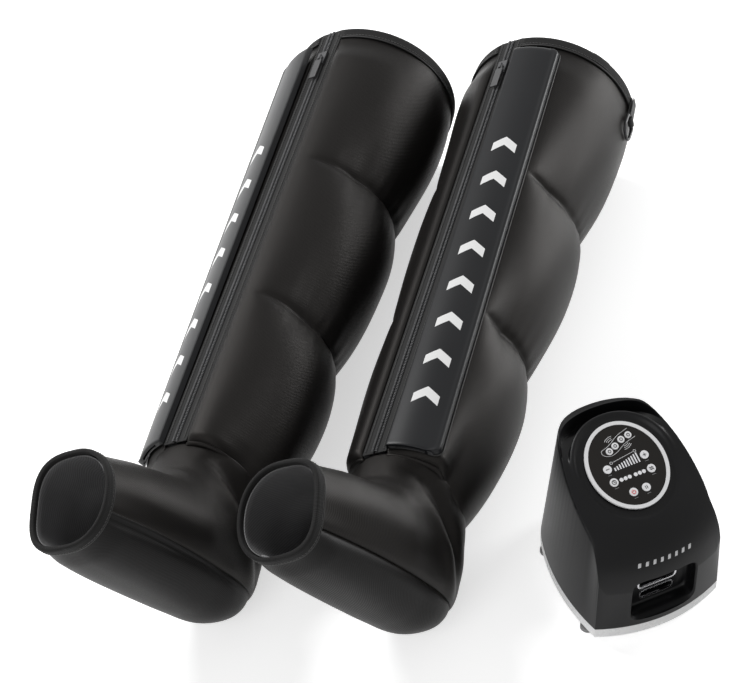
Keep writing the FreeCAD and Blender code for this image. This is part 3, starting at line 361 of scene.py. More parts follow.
def buildPiece(name, forms, finishes, body, slot, replaced=(), weld=True, outward=True, sharp=None):
    # all grids of one piece go into one mesh: corners, then faces, then the lengths as UV
    loops, totals, picks, start = [], [], [], 0
    for item in forms:
        rows, cols = item["points"].shape[:2]
        quads = gridQuads(rows, cols, item["closeRows"], item["closeCols"], item["flip"], start)
        loops.append(quads.ravel())
        totals.append(np.full(len(quads), 4))
        if item["caps"]:
            first, last = np.arange(cols) + start, np.arange(cols) + start + (rows - 1) * cols
            loops += [first[::-1], last] if item["flip"] else [first, last[::-1]]
            totals.append(np.full(2, cols))
        picks.append(np.full(len(quads) + 2 * item["caps"], item["finish"]))
        start += rows * cols
    corners = np.concatenate([item["points"].reshape(-1, 3) for item in forms])
    lengths = np.concatenate([item["lengths"].reshape(-1, 2) for item in forms])
    loops, totals, picks = np.concatenate(loops), np.concatenate(totals), np.concatenate(picks)
    mesh = bpy.data.meshes.new(name)
    mesh.vertices.add(len(corners))
    mesh.vertices.foreach_set("co", corners.ravel())
    mesh.loops.add(len(loops))
    mesh.loops.foreach_set("vertex_index", loops.astype(np.int32))
    mesh.polygons.add(len(totals))
    mesh.polygons.foreach_set("loop_start", (np.cumsum(totals) - totals).astype(np.int32))
    mesh.polygons.foreach_set("loop_total", totals.astype(np.int32))
    mesh.polygons.foreach_set("material_index", picks.astype(np.int32))
    mesh.update(calc_edges=True)
    mesh.uv_layers.new(name="lengths").data.foreach_set("uv", lengths[loops].ravel())
    if weld:
        work = bmesh.new()
        work.from_mesh(mesh)
        bmesh.ops.remove_doubles(work, verts=work.verts, dist=0.00001)
        bmesh.ops.dissolve_degenerate(work, edges=work.edges, dist=0.000001)
        if outward:
            bmesh.ops.recalc_face_normals(work, faces=work.faces)
        work.to_mesh(mesh)
        work.free()
    mesh.validate()
    mesh.polygons.foreach_set("use_smooth", np.ones(len(mesh.polygons), bool))
    if sharp:
        mesh.set_sharp_from_angle(angle=math.radians(sharp))
    for finish in finishes:
        mesh.materials.append(finish)
    piece = bpy.data.objects.new(name, mesh)
    bpy.context.scene.collection.objects.link(piece)
    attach(piece, body)
    if replaced:
        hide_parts(*replaced)
    return piece


def curveThrough(places, knots, values):
    # smooth line through the knots: cubic pieces whose slopes come from the neighbours
    knots, values = np.asarray(knots, float), np.asarray(values, float)
    slopes = np.gradient(values, knots, axis=0)
    spot = np.clip(np.searchsorted(knots, places, side="right") - 1, 0, len(knots) - 2)
    run = knots[spot + 1] - knots[spot]
    t = (places - knots[spot]) / run
    shape = t.shape + (1,) * (values.ndim - 1)
    t, run = t.reshape(shape), run.reshape(shape)
    stay, leave = (1 + 2 * t) * (1 - t) ** 2, t * (1 - t) ** 2 * run
    come, reach = t * t * (3 - 2 * t), t * t * (t - 1) * run
    return stay * values[spot] + leave * slopes[spot] + come * values[spot + 1] + reach * slopes[spot + 1]


def roundBox(halfWide, halfHigh, power, count):
    # closed superellipse outline
    turn = turnsOf(count)
    return bent(np.sin(turn), 2 / power) * halfWide, bent(np.cos(turn), 2 / power) * halfHigh


def tubeAlong(path, radius, sides, closed=False):
    # round profile carried along a path, kept square to it by the path's own direction
    guide = (0.31, 0.52, 0.79)      # a way that no path here runs
    ahead = unit(np.roll(path, -1, 0) - np.roll(path, 1, 0) if closed else np.gradient(path, axis=0))
    side = unit(np.cross(ahead, guide))
    turn = turnsOf(sides)[None, :, None]
    ring = np.cos(turn) * side[:, None] + np.sin(turn) * np.cross(side, ahead)[:, None]
    return path[:, None] + ring * radius


def bead(path, radius, sides, finish=0):
    # a capped tube along an open path, radius in millimetres
    return rod(tubeAlong(path, radius * mm, sides), finish)


sewing = {"pitch": 0.0042, "thread": 0.36, "above": 0.0003, "below": 0.0014, "swing": 1.9, "shift": 0.75,
          "steps": 7, "sides": 5}


def stitches(path, out, finish):
    # one thread that runs along a path and dips under the cloth between its stitches
    step = np.concatenate([[0], np.cumsum(np.linalg.norm(np.diff(path, axis=0), axis=1))])
    spot = np.linspace(0, step[-1], int(step[-1] / sewing["pitch"]) * sewing["steps"])
    line, away = (np.stack([np.interp(spot, step, column) for column in item.T], -1) for item in (path, out))
    wave = np.clip(sewing["swing"] * np.cos(spot * fullTurn / sewing["pitch"]) + sewing["shift"], -1, 1)
    dip = np.where(wave > 0, wave * sewing["above"], wave * sewing["below"])
    return bead(line + away * dip[:, None], sewing["thread"], sewing["sides"], finish)


zipper = {"lowReach": 85.8, "lowLevel": 98.0, "highReach": 103.0, "highLevel": 789.0, "rest": 52.0,
          "pullHeight": 6.2, "pitch": 2.4, "coilMiddle": 2.6, "coilSwing": 1.5, "coilHeight": 1.2,
          "coilLift": 0.85, "coilEnd": 1.0, "thread": 0.62, "tape": 1.2, "stitchReach": 12.5, "stitchEnd": 3.0}
zipperSpan = zipper["highReach"] - zipper["lowReach"], zipper["highLevel"] - zipper["lowLevel"]
zipperRun, zipperTilt = math.hypot(*zipperSpan), math.atan2(*zipperSpan)


class Boot:
    # a boot's own frame, read from its joints: x to its outer side, y forward, z up the leg
    def __init__(self, name, side):
        self.name, self.side = name, side
        along = -np.array(joints[name + "_zipper_slide"]["axis"], float)
        across = np.array(joints[name + "_pull_tab_swing"]["axis"], float)
        self.out = np.cross(along, across)
        front = self.out * math.cos(zipperTilt) + along * math.sin(zipperTilt)
        up = along * math.cos(zipperTilt) - self.out * math.sin(zipperTilt)
        self.axes = np.array([side * across, front, up])
        self.zipperAxes = np.array([side * across, self.out, along])
        hinge = np.array(joints[name + "_pull_tab_swing"]["pos_m"], float)
        travel = zipperRun - zipper["rest"]
        self.zipperStart = inFrame(hinge, self.zipperAxes, 0.0, -zipper["pullHeight"], -travel)
        self.origin = inFrame(self.zipperStart, self.axes, 0.0, -zipper["lowReach"], -zipper["lowLevel"])

    def place(self, lateral, forward, level):
        return inFrame(self.origin, self.axes, lateral, forward, level)

    def placeAll(self, spots):
        return self.place(spots[..., 0], spots[..., 1], spots[..., 2])

    def around(self, angle, radius, level):
        # angle from the front towards the outer side
        return self.place(radius * np.sin(angle), radius * np.cos(angle), level)

    def onZipper(self, lateral, height, travel):
        return inFrame(self.zipperStart, self.zipperAxes, lateral, height, travel)

    def part(self, label):
        return f"{self.name}_{label}"


boots = [Boot("left", -1), Boot("right", 1)]

# the strip beside the zipper, and the leg that lies flat under it; millimetres, degrees and shares
strip = {
    "low": 100.0, "high": 758.0, "lowRadius": 88.2, "highRadius": 110.2, "start": 17.2, "width": 53.0,
    "skin": 2.0, "wall": 4.0, "tall": 8.0, "faceDrop": 1.2, "roofDrop": 0.6, "crown": 1.0, "step": 0.035,
    "lip": 1.7, "lipShare": 0.93, "lipWide": 0.045, "corner": 10.0, "topCorner": 9.0,
    "lowEase": 0.8, "lowRound": 3.0, "topEase": 0.45, "topRound": 8.0,
    "piping": 1.2, "pipingGap": 0.4, "pipingOut": 1.0,
}
leg = {
    "levels": (85.0, 320.0, 555.0, 773.0), "radii": (63.0, 78.5, 87.5, 103.0), "swells": (19.0, 15.5, 9.5),
    "peak": 0.42, "shoulder": 2.6, "taper": 1.9, "thickness": 2.0, "turnLength": 0.095,
    "underStrip": 1.2, "rollHeight": 8.0, "edge": 16.8, "rollWidth": 13.0, "hemRound": (728.0, 766.0),
    "outerTurn": 72.0, "innerTurn": (22.0, 66.0), "outerWeld": 9.0, "innerWeld": (20.0, 36.0),
    "creaseWidth": 3.8, "creaseDepth": 5.4, "wander": 5.0, "slack": 0.7,
    "pucker": 0.8, "puckerCount": 31, "puckerReach": 20.0, "puckerClear": 4.0,
    "frontLift": 9.0, "liftEnd": 120.0, "endRoll": 13.0, "endSide": 61.0, "endFront": 82.0,
    "turnedIn": ((88.0, -6.0), (85.5, -3.0), (84.4, -0.8)),      # level and depth of the edge's inner rows
}


def zipperReach(level):
    # a straight line between the zipper's two ends
    return zipper["lowReach"] + (level - zipper["lowLevel"]) * zipperSpan[0] / zipperSpan[1]


def stripRadius(level):
    # grows in a straight line up the strip
    run = (level - strip["low"]) / (strip["high"] - strip["low"])
    return strip["lowRadius"] + run * (strip["highRadius"] - strip["lowRadius"])


def swollenRadius(level):
    # three swollen lengths: a quick rounded shoulder under each weld, then a slow fall to the next weld
    levels, radii, swells = (np.array(leg[key]) for key in ("levels", "radii", "swells"))
    part = np.clip(np.searchsorted(levels, level, side="right") - 1, 0, 2)
    down = np.clip((levels[part + 1] - level) / (levels[part + 1] - levels[part]), 0, 1)
    chord = radii[part + 1] + (radii[part] - radii[part + 1]) * down
    rise = 1 - np.abs(1 - down / leg["peak"]) ** leg["shoulder"]
    fall = 1 - np.abs((down - leg["peak"]) / (1 - leg["peak"])) ** leg["taper"]
    return chord + swells[part] * np.where(down < leg["peak"], rise, fall)


def legRadius(angle, level):
    # angle from the front towards the outer side; straight along the zipper, swollen at the sides and back
    outer = angle < math.pi
    fromFront = np.degrees(np.where(outer, angle, fullTurn - angle))
    flat = stripRadius(level) - leg["underStrip"]
    straight = np.where(outer, flat, zipperReach(level) + leg["rollHeight"])
    straight = straight + (leg["radii"][3] - straight) * smoothStep(*leg["hemRound"], level)
    edge = np.degrees(np.arcsin((strip["start"] + strip["width"]) / flat))      # where the strip ends
    turned = np.where(outer, smoothStep(edge - 1, leg["outerTurn"], fromFront),
                      smoothStep(*leg["innerTurn"], fromFront))
    near = np.where(outer, smoothStep(edge - 1, edge + leg["outerWeld"], fromFront),
                    smoothStep(*leg["innerWeld"], fromFront))
    radius = straight + (swollenRadius(level) - straight) * turned
    for weld in leg["levels"][1:3]:
        # the weld wanders a little, and the cloth puckers beside its crease
        gap = np.abs(level - weld - leg["wander"] * np.sin(angle * 1.5 + weld))
        pucker = np.sin(angle * leg["puckerCount"] + 1.7 * np.sin(angle * 5 + weld))
        pucker = pucker * np.exp(-gap / leg["puckerReach"]) * (1 - np.exp(-gap / leg["puckerClear"]))
        crease = leg["creaseDepth"] * np.exp(-gap / leg["creaseWidth"])
        radius = radius + near * (turned * leg["pucker"] * pucker - crease)
    slack = np.sin(angle * 3.1 + level / 63.0) * np.sin(level / 41.0 + 1.3)
    slack = slack + 0.6 * np.sin(angle * 7 - level / 29.0)
    return radius + leg["slack"] * turned * slack


def legGrid():
    # rows up the leg, columns from one edge of the zipper's slot round the back to the other
    turnedIn = np.array(leg["turnedIn"])
    level = np.concatenate([turnedIn[:, 0], np.linspace(85, 104, 18), np.linspace(107, 775, 220)])
    tuck = np.concatenate([turnedIn[:, 1], np.zeros(len(level) - len(turnedIn))])
    reach = zipperReach(level)[:, None] - 1.0
    start = np.arctan2(leg["edge"], reach)
    roll = np.arctan2(leg["edge"] + leg["rollWidth"], reach)
    lead = start + (roll - start) * np.linspace(0, 1, 9)[None, :-1] ** 1.4
    middle = roll + (fullTurn - 2 * roll) * np.linspace(0, 1, 118)[None, :]
    angle = np.concatenate([lead, middle, fullTurn - lead[:, ::-1]], 1)
    fromFront = np.minimum(angle, fullTurn - angle)
    edge, high = np.hypot(leg["edge"], reach), level[:, None]
    # the cloth rolls over into the zipper
    radius = edge + (legRadius(angle, high) - edge) * quarterRound((fromFront - start) / (roll - start))
    # the lower edge climbs over the instep, and rolls in until it meets the foot's own outline there
    low = leg["levels"][0]
    front = smoothStep(math.radians(100), math.radians(55), fromFront)
    climb = np.clip((high - low) / (leg["liftEnd"] - low), 0, 1)
    high = np.where(high < leg["liftEnd"], high + leg["frontLift"] * front * (1 - climb), high)
    meets = 1 / np.hypot(np.sin(angle) / leg["endSide"], np.cos(angle) / leg["endFront"])
    nearEnd = quarterRound((high - low - leg["frontLift"] * front) / leg["endRoll"])
    radius = radius - np.clip(radius - meets, 0, None) * (1 - nearEnd)
    return angle, radius + tuck[:, None] * (1 - front), high


foot = {
    # stations from the toe to the ankle: instep line, sole line (forward, level), half width
    "instep": ((204.7, -24.9), (159.4, -2.3), (116.0, 20.5), (91.5, 36.0), (87.0, 52.0), (85.5, 65.0),
               (85.0, 76.0), (84.5, 85.0), (84.0, 92.0), (83.0, 98.0)),
    "sole": ((163.9, -131.4), (117.2, -114.5), (70.5, -96.8), (20.0, -77.5), (-22.0, -61.0), (-62.0, -42.0),
             (-88.0, -12.0), (-90.0, 24.0), (-78.0, 58.0), (-62.0, 88.0)),
    "wide": (54.0, 60.5, 64.5, 66.0, 65.5, 64.0, 62.0, 60.5, 61.0, 62.0),
    "outerPower": 2.35, "toePower": 0.75, "innerPower": 2.2, "turnLength": 0.06, "stationLength": 0.045,
    "seamHeight": -34.0, "seamDepth": 2.4, "seamWidth": 5.0, "seamCut": 1.8, "cutWidth": 1.6,
    "soleSwell": 3.5, "instepSwell": 4.0, "ripple": 0.7,
    "foldFrom": (66.0, 74.0), "foldTo": (-74.0, -6.0), "foldBow": 9.0, "foldFull": 4.5, "foldDrawn": 8.5,
    "toe": (0.0, 0.934, -0.358), "instepUp": (0.0, 0.358, 0.934),
}
toeward, instepward = np.array(foot["toe"]), np.array(foot["instepUp"])


def footLines(station):
    # instep line, sole line and half width at each station
    lines = []
    for key in ("instep", "sole", "wide"):
        line = curveThrough(station.ravel(), np.arange(len(foot[key])), foot[key])
        lines.append(line.reshape(station.shape + line.shape[1:]))
    return lines


def footPoint(station, turn, inset=0.0):
    # closed sections between the instep line and the sole line: squarer outside, rounder inside
    station, turn, inset = np.broadcast_arrays(station, turn, inset)
    instep, sole, wide = footLines(station)
    half = (instep - sole) / 2
    length = np.linalg.norm(half, axis=-1)
    toeShare = smoothStep(5.0, 0.0, station)
    power = np.where(np.sin(turn) > 0, foot["outerPower"] + foot["toePower"] * toeShare, foot["innerPower"])
    rise = -bent(np.cos(turn), 2 / power) * (length - inset) / length
    spot = (instep + sole) / 2 + half * rise[..., None]
    return (wide - inset) * bent(np.sin(turn), 2 / power), spot[..., 0], spot[..., 1]


def seamGap(forward, level):
    # height over the sole seam, square to the sole
    return forward * instepward[1] + level * instepward[2] - foot["seamHeight"]


def seamTurn(station):
    # the turn at which each section crosses the level of the sole seam
    turn = np.linspace(0, math.pi, 400)
    gap = seamGap(*footPoint(station[:, None], turn)[1:])
    count = (gap < 0).sum(1)
    spot = np.clip(count, 1, len(turn) - 1)
    row = np.arange(len(station))
    before, after = gap[row, spot - 1], gap[row, spot]
    return (turn[spot - 1] + (turn[1] - turn[0]) * before / (before - after)) * (count > 0)


def footRelief(station, turn, forward, level):
    # how far the inflated foot stands out: a groove at the seam, fuller sole and instep, slack at the ankle
    gap = seamGap(forward, level)
    groove = foot["seamDepth"] * bell(gap, foot["seamWidth"])
    groove = groove + foot["seamCut"] * np.exp(-np.abs(gap) / foot["cutWidth"])
    tail = smoothStep(6.6, 5.2, station)
    sole = foot["soleSwell"] * smoothStep(0, -18, gap) * smoothStep(0, 0.7, station) * tail
    instep = smoothStep(4, 34, gap) * smoothStep(0, 1.2, station) * smoothStep(5.0, 3.2, station)
    # a fold runs down from the front of the ankle to the heel: full below it, drawn in above
    start, end = np.array(foot["foldFrom"]), np.array(foot["foldTo"])
    run = unit(end - start)
    past = (forward - start[0]) * run[0] + (level - start[1]) * run[1]
    above = (level - start[1]) * -run[0] + (forward - start[0]) * run[1]
    bend = above - foot["foldBow"] * np.sin(np.clip(past / np.linalg.norm(end - start), 0, 1) * math.pi)
    sides = np.sin(turn) ** 2 * smoothStep(-20, 14, past) * smoothStep(175, 120, past)
    slack = sides * (foot["foldFull"] * bell(bend + 13, 13) - foot["foldDrawn"] * bell(bend - 9, 12))
    ripple = np.sin(forward / 17 + level / 11) * np.sin(level / 23 + 1) * smoothStep(8, 30, np.abs(gap))
    return sole + foot["instepSwell"] * instep + slack + foot["ripple"] * ripple - groove * (0.25 + 0.75 * tail)


def footSkin(boot, station, turn):
    # the plain foot, moved out from the middle line by its relief
    station = np.broadcast_to(station[:, None], turn.shape)
    lateral, forward, level = footPoint(station, turn)
    instep, sole, _ = footLines(station)
    middle = (instep + sole) / 2
    away = unit(np.stack([lateral, forward - middle[..., 0], level - middle[..., 1]], -1))
    relief = footRelief(station, turn, forward, level)[..., None]
    points = boot.placeAll(np.stack([lateral, forward, level], -1) + away * relief)
    lengths = laid(turn * foot["turnLength"], station * foot["stationLength"])
    return form(points, flip=boot.side > 0, lengths=lengths)


def coverPiece(boot, label, surface, finish, node, **ways):
    # the outer surface, with its wall set inwards
    piece = buildPiece(boot.part(label), [surface], [finish], "root", "cover_fabric", [boot.part(node)], **ways)
    wall = piece.modifiers.new("wall", "SOLIDIFY")
    wall.thickness = leg["thickness"] * mm
    wall.offset = -1


for boot in boots:
    angle, radius, level = legGrid()
    lengths = laid(angle * leg["turnLength"], level * mm)
    surface = form(boot.around(angle, radius, level), flip=boot.side < 0, lengths=lengths)
    coverPiece(boot, "leg_shell", surface, coverFinish, "leg_cover", weld=False)
    station = np.concatenate([np.linspace(0, 6.6, 92), np.linspace(6.66, 9, 34)])
    seam = seamTurn(station)[:, None]
    turn = seam + (fullTurn - 2 * seam) * np.linspace(0, 1, 110)
    coverPiece(boot, "foot_shell", footSkin(boot, station, turn), coverFinish, "foot_cover", outward=False)
    below = seam[:, 0] > 0
    surface = footSkin(boot, station[below], seam[below] * np.linspace(-1, 1, 46))
    coverPiece(boot, "sole_shell", surface, soleFinish, "sole_panel", outward=False)
print("covers made")

binding = {"width": 12.6, "out": 1.9, "inward": 5.6, "thinner": 1.7, "seat": 1.2, "stitch": 1.4,
           "stitchIn": 0.1, "piping": 1.15, "pipingOut": 0.6, "pipingBack": 1.6, "turnLength": 0.055,
           "sideLength": 0.0017}
sock = {"outer": 6.0, "toeStep": 2.5, "foldStep": 5.0, "rim": 4.6, "inner": 5.4, "deeper": 12.0, "bulge": 1.6,
        "turnLength": 0.05}
insole = {"toe": -0.02, "heel": 5.0, "turn": 0.78, "tall": 3.6, "round": 0.5, "above": 0.8, "below": 1.5,
          "toeTurn": 0.45, "toeTall": 0.3, "crown": 1.45, "sideLength": 0.002}


def sockInset(along):
    # depth of the lining's inner wall: more behind the toe
    return sock["inner"] + sock["deeper"] * smoothStep(-0.3, 2.4, along)


def sockBulge(along):
    # soft rings round the foot, from the toe on
    return sock["bulge"] * np.sin(along * 4.2) * smoothStep(0.4, 1.6, along)


for boot in boots:
    # a rounded band carried round the toe's edge, thin on the inner side, with its piping and its stitches
    turn = turnsOf(120)
    rim = np.stack(footPoint(0.0, turn), -1)
    outward = np.cross(toeward, unit(np.roll(rim, -1, 0) - np.roll(rim, 1, 0)))
    outward *= np.sign((outward * (rim - rim.mean(0))).sum(1, keepdims=True))
    deep, wide = roundBox(0.5, binding["width"] / 2, 3.2, 22)
    inward = binding["inward"] - binding["thinner"] * smoothStep(0.5, -0.5, np.sin(turn))
    deep = deep * (binding["out"] + inward)[:, None] + (binding["out"] - inward)[:, None] / 2
    ahead = toeward * (wide + binding["width"] / 2 - binding["seat"])[:, None]
    spots = rim[:, None] + outward[:, None] * deep[..., None] + ahead
    lengths = laid(np.arange(len(wide)) * binding["sideLength"], turn[:, None] * binding["turnLength"])
    band = hoop(boot.placeAll(spots), lengths=lengths)
    line = boot.placeAll(rim + outward * binding["pipingOut"] - toeward * binding["pipingBack"])
    cord = hoop(tubeAlong(line, binding["piping"] * mm, 8, True), 1)
    closed = np.arange(len(turn) + 1) % len(turn)
    seam = boot.placeAll(rim + outward * (binding["out"] - binding["stitchIn"]) + toeward * binding["stitch"])
    thread = stitches(seam[closed], unit(outward @ boot.axes)[closed], 2)
    buildPiece(boot.part("toe_edge"), [band, cord, thread], [bindingFinish, pipingFinish, threadFinish], "root",
               "binding_tape", [boot.part("toe_binding")])

    # the cell and woven lining inside the foot: out along the cover, round the mouth, back along the foot
    along = np.concatenate([np.linspace(8.6, 0.12, 50), [-0.13], np.linspace(-0.11, 8.6, 50)])
    outer = sock["outer"] + sock["toeStep"] * smoothStep(0.3, 1.0, along[:50])
    outer = outer + sock["foldStep"] * smoothStep(1.6, 3.6, along[:50])      # clear of the fold
    inset = np.concatenate([outer, [sock["rim"]], sockInset(along[51:])]) + sockBulge(along)
    turn, along = turnsOf(96), along[:, None]
    points = boot.place(*footPoint(along, turn, inset[:, None]))
    lengths = laid(turn * sock["turnLength"], along * foot["stationLength"])
    lining = buildPiece(boot.part("foot_cell"), [hoop(points, lengths=lengths)], [liningFinish], "root",
                        "lining_fabric", [boot.part("foot_bladder")])

    # insole: a soft crowned pad along the bottom of the lining
    along, share = np.linspace(insole["toe"], insole["heel"], 40)[:, None], np.linspace(-1, 1, 30)
    fromToe = (along - insole["toe"]) / insole["round"]
    turn = insole["turn"] * easedIn(insole["toeTurn"], fromToe) * share
    bed = sockInset(along) + sockBulge(along)
    crown = insole["tall"] * np.cos(share * insole["crown"]) * easedIn(insole["toeTall"], fromToe)
    top = boot.place(*footPoint(along, turn, bed + insole["above"] + crown))
    base = boot.place(*footPoint(along, turn, bed - insole["below"]))
    lengths = laid(np.arange(2 * len(share)) * insole["sideLength"], along * foot["stationLength"])
    pad = rod(np.concatenate([top, base[:, ::-1]], 1), lengths=lengths)
    buildPiece(boot.part("insole"), [pad], [insoleFinish], "root", "lining_fabric")
print("foot edges and linings made")

hem = {
    "low": 772.6, "high": 789.4, "outer": 105.3, "inner": 95.6, "zipperEnd": 780.0, "zipperGap": 0.4,
    "lapFrom": 62.0, "lapTo": 74.0, "lap": 0.9, "lapEdge": 0.012, "stitch": 3.4, "stitchIn": 0.15,
    "pipingIn": 0.4, "pipingUp": 0.2, "turnLength": 0.105, "sideLength": 0.0018,
    "ringTurn": 110.0, "eyeReach": 110.8, "eyeLevel": 749.0, "eyeRadius": 3.3, "eyeTurns": (180.0, 430.0),
    "loopTop": 786.0, "loopInner": 105.8, "innerEnd": 751.0, "loopOuter": 108.4, "outerStart": (111.4, 754.0),
    "loopWide": 15.0, "loopThick": 1.4, "loopStep": 0.0014,
}
for boot in boots:
    # hem band: a folded tape round the leg opening, open at the zipper, its ends overlapped
    start = math.atan2(leg["edge"] + hem["zipperGap"], zipperReach(hem["zipperEnd"]))
    angle = np.linspace(start, fullTurn - start, 150)
    deep, high = roundBox((hem["outer"] - hem["inner"]) / 2, (hem["high"] - hem["low"]) / 2, 4.0, 26)
    deep, high = deep + (hem["outer"] + hem["inner"]) / 2, high + (hem["high"] + hem["low"]) / 2
    lapStart, lapEnd = math.radians(hem["lapFrom"]), math.radians(hem["lapTo"])
    lap = hem["lap"] * smoothStep(lapStart - hem["lapEdge"], lapStart, angle)
    lap = lap * smoothStep(lapEnd + hem["lapEdge"], lapEnd, angle)
    reach = deep + lap[:, None] * (deep > deep.mean())
    lengths = laid(np.arange(len(deep)) * hem["sideLength"], angle[:, None] * hem["turnLength"])
    band = rod(boot.around(angle[:, None], reach, high), lengths=lengths)
    seam = boot.around(angle, hem["outer"] + lap - hem["stitchIn"], hem["low"] + hem["stitch"])
    thread = stitches(seam, unit(boot.around(angle, 1.0, 0.0) - boot.origin), 3)
    line = boot.around(angle, hem["outer"] - hem["pipingIn"], hem["low"] + hem["pipingUp"])
    cord = bead(line, binding["piping"], 8, 1)
    # webbing loop: down from the hem, round the ring's bar and back up
    eye, bend = np.radians(np.linspace(*hem["eyeTurns"], 34)), hem["eyeRadius"]
    reach = np.concatenate([np.linspace(hem["loopInner"], hem["eyeReach"] - bend, 18),
                            hem["eyeReach"] + bend * np.cos(eye),
                            np.linspace(hem["outerStart"][0], hem["loopOuter"], 16)])
    level = np.concatenate([np.linspace(hem["loopTop"], hem["innerEnd"], 18),
                            hem["eyeLevel"] + bend * np.sin(eye),
                            np.linspace(hem["outerStart"][1], hem["loopTop"], 16)])
    ahead = unit(np.stack([np.gradient(reach), np.gradient(level)], -1))
    wide, thick = roundBox(hem["loopWide"] / 2, hem["loopThick"] / 2, 3.0, 20)
    reach, level = reach[:, None] - ahead[:, 1:] * thick, level[:, None] + ahead[:, :1] * thick
    aside, front = math.sin(math.radians(hem["ringTurn"])), math.cos(math.radians(hem["ringTurn"]))
    loop = rod(boot.place(reach * aside + wide * front, reach * front - wide * aside, level), 2,
               laid(wide * mm, np.arange(len(level))[:, None] * hem["loopStep"]))
    buildPiece(boot.part("hem_edge"), [band, cord, loop, thread],
               [bindingFinish, pipingFinish, webbingFinish, threadFinish], "root", "binding_tape",
               [boot.part("top_binding")])
print("hems made")

for boot in boots:
    # the strip's section: a low step beside the zipper, a faintly crowned face and a soft raised outer edge
    share = np.linspace(0, 1, 44)
    rounding = quarterRound(share / strip["step"]) * quarterRound((1 - share) / (1 - strip["lipShare"]))
    lip = strip["lip"] * bell(share - strip["lipShare"], strip["lipWide"])
    face = strip["tall"] - strip["faceDrop"] + strip["crown"] * np.sin(share * math.pi) + lip
    roof = np.full(14, strip["tall"] - strip["skin"] - strip["roofDrop"])
    shelf = strip["wall"] / strip["width"]
    share = np.concatenate([share, [1 - shelf], shelf + np.linspace(1, 0, 14) * (1 - 2 * shelf), [shelf]])
    height = np.concatenate([face * rounding, [0.0], roof, [0.0]])
    lowRows = strip["low"] + np.array([0.0, 0.4, 1.2, 2.6, 4.6, 7.5, 11.0, 15.0])
    topRows = strip["high"] - np.array([17.0, 12.0, 8.0, 5.0, 2.8, 1.2, 0.4, 0.0])
    level = np.concatenate([lowRows, np.linspace(120, 735, 60), topRows])[:, None]
    # its ends are rounded in plan and lower
    fromLow, fromHigh = level - strip["low"], strip["high"] - level
    width = strip["width"] - strip["corner"] * (1 - quarterRound(fromLow / strip["corner"]))
    width = width - strip["topCorner"] * (1 - quarterRound(fromHigh / strip["topCorner"]))
    ease = easedIn(strip["lowEase"], fromLow / strip["lowRound"])
    ease = ease * easedIn(strip["topEase"], fromHigh / strip["topRound"])
    under = stripRadius(level)
    angle = np.arcsin((strip["start"] + width * share) / under)
    body = rod(boot.around(angle, under + height * ease, level), lengths=laid(width * share * mm, level * mm))
    angle = np.arcsin((strip["start"] + width + strip["pipingGap"]) / under)
    cord = bead(boot.around(angle, under + strip["pipingOut"], level)[:, 0], strip["piping"], 8, 1)
    buildPiece(boot.part("strip"), [body, cord], [placketFinish, pipingFinish], "root", "placket_leather",
               [boot.part("placket")], sharp=50)

    # coil: two flat helices that mesh in the middle, and a row of stitches on each tape
    travel = np.linspace(zipper["coilEnd"], zipperRun - zipper["coilEnd"], int(zipperRun / zipper["pitch"]) * 8)
    seam = np.linspace(zipper["stitchEnd"], zipperRun - zipper["stitchEnd"], 200)
    coils, rows = [], []
    for way in (-1, 1):
        phase = travel * fullTurn / zipper["pitch"] + (0 if way < 0 else math.pi)
        lateral = way * (zipper["coilMiddle"] + zipper["coilSwing"] * np.cos(phase))
        line = boot.onZipper(lateral, zipper["coilHeight"] + zipper["coilLift"] * np.sin(phase), travel)
        coils.append(bead(line, zipper["thread"], 6))
        line = boot.onZipper(way * zipper["stitchReach"], zipper["tape"], seam)
        rows.append(stitches(line, np.broadcast_to(boot.out, line.shape), 1))
    buildPiece(boot.part("coil_rows"), coils + rows, [coilFinish, threadFinish], "root", "zipper_coil",
               [boot.part("zipper_coil")], weld=False)
print("strips and coils made")

sleeve = {"low": 85.0, "run": 643.0, "radius": 46.0, "flare": 28.0, "mouth": 21.4, "wall": 1.5, "gap": 0.06,
          "slack": 0.8, "turnLength": 0.07}
cell = {"gap": 0.30, "clear": 3.0, "under": 5.5, "round": 9.0, "flat": 0.35,
        "levels": {"calf": (106.0, 314.0), "knee": (326.0, 549.0), "thigh": (561.0, 722.0)}}


def sleeveRadius(level):
    # a cone that widens up the leg
    return sleeve["radius"] + sleeve["flare"] * (level - sleeve["low"]) / sleeve["run"]


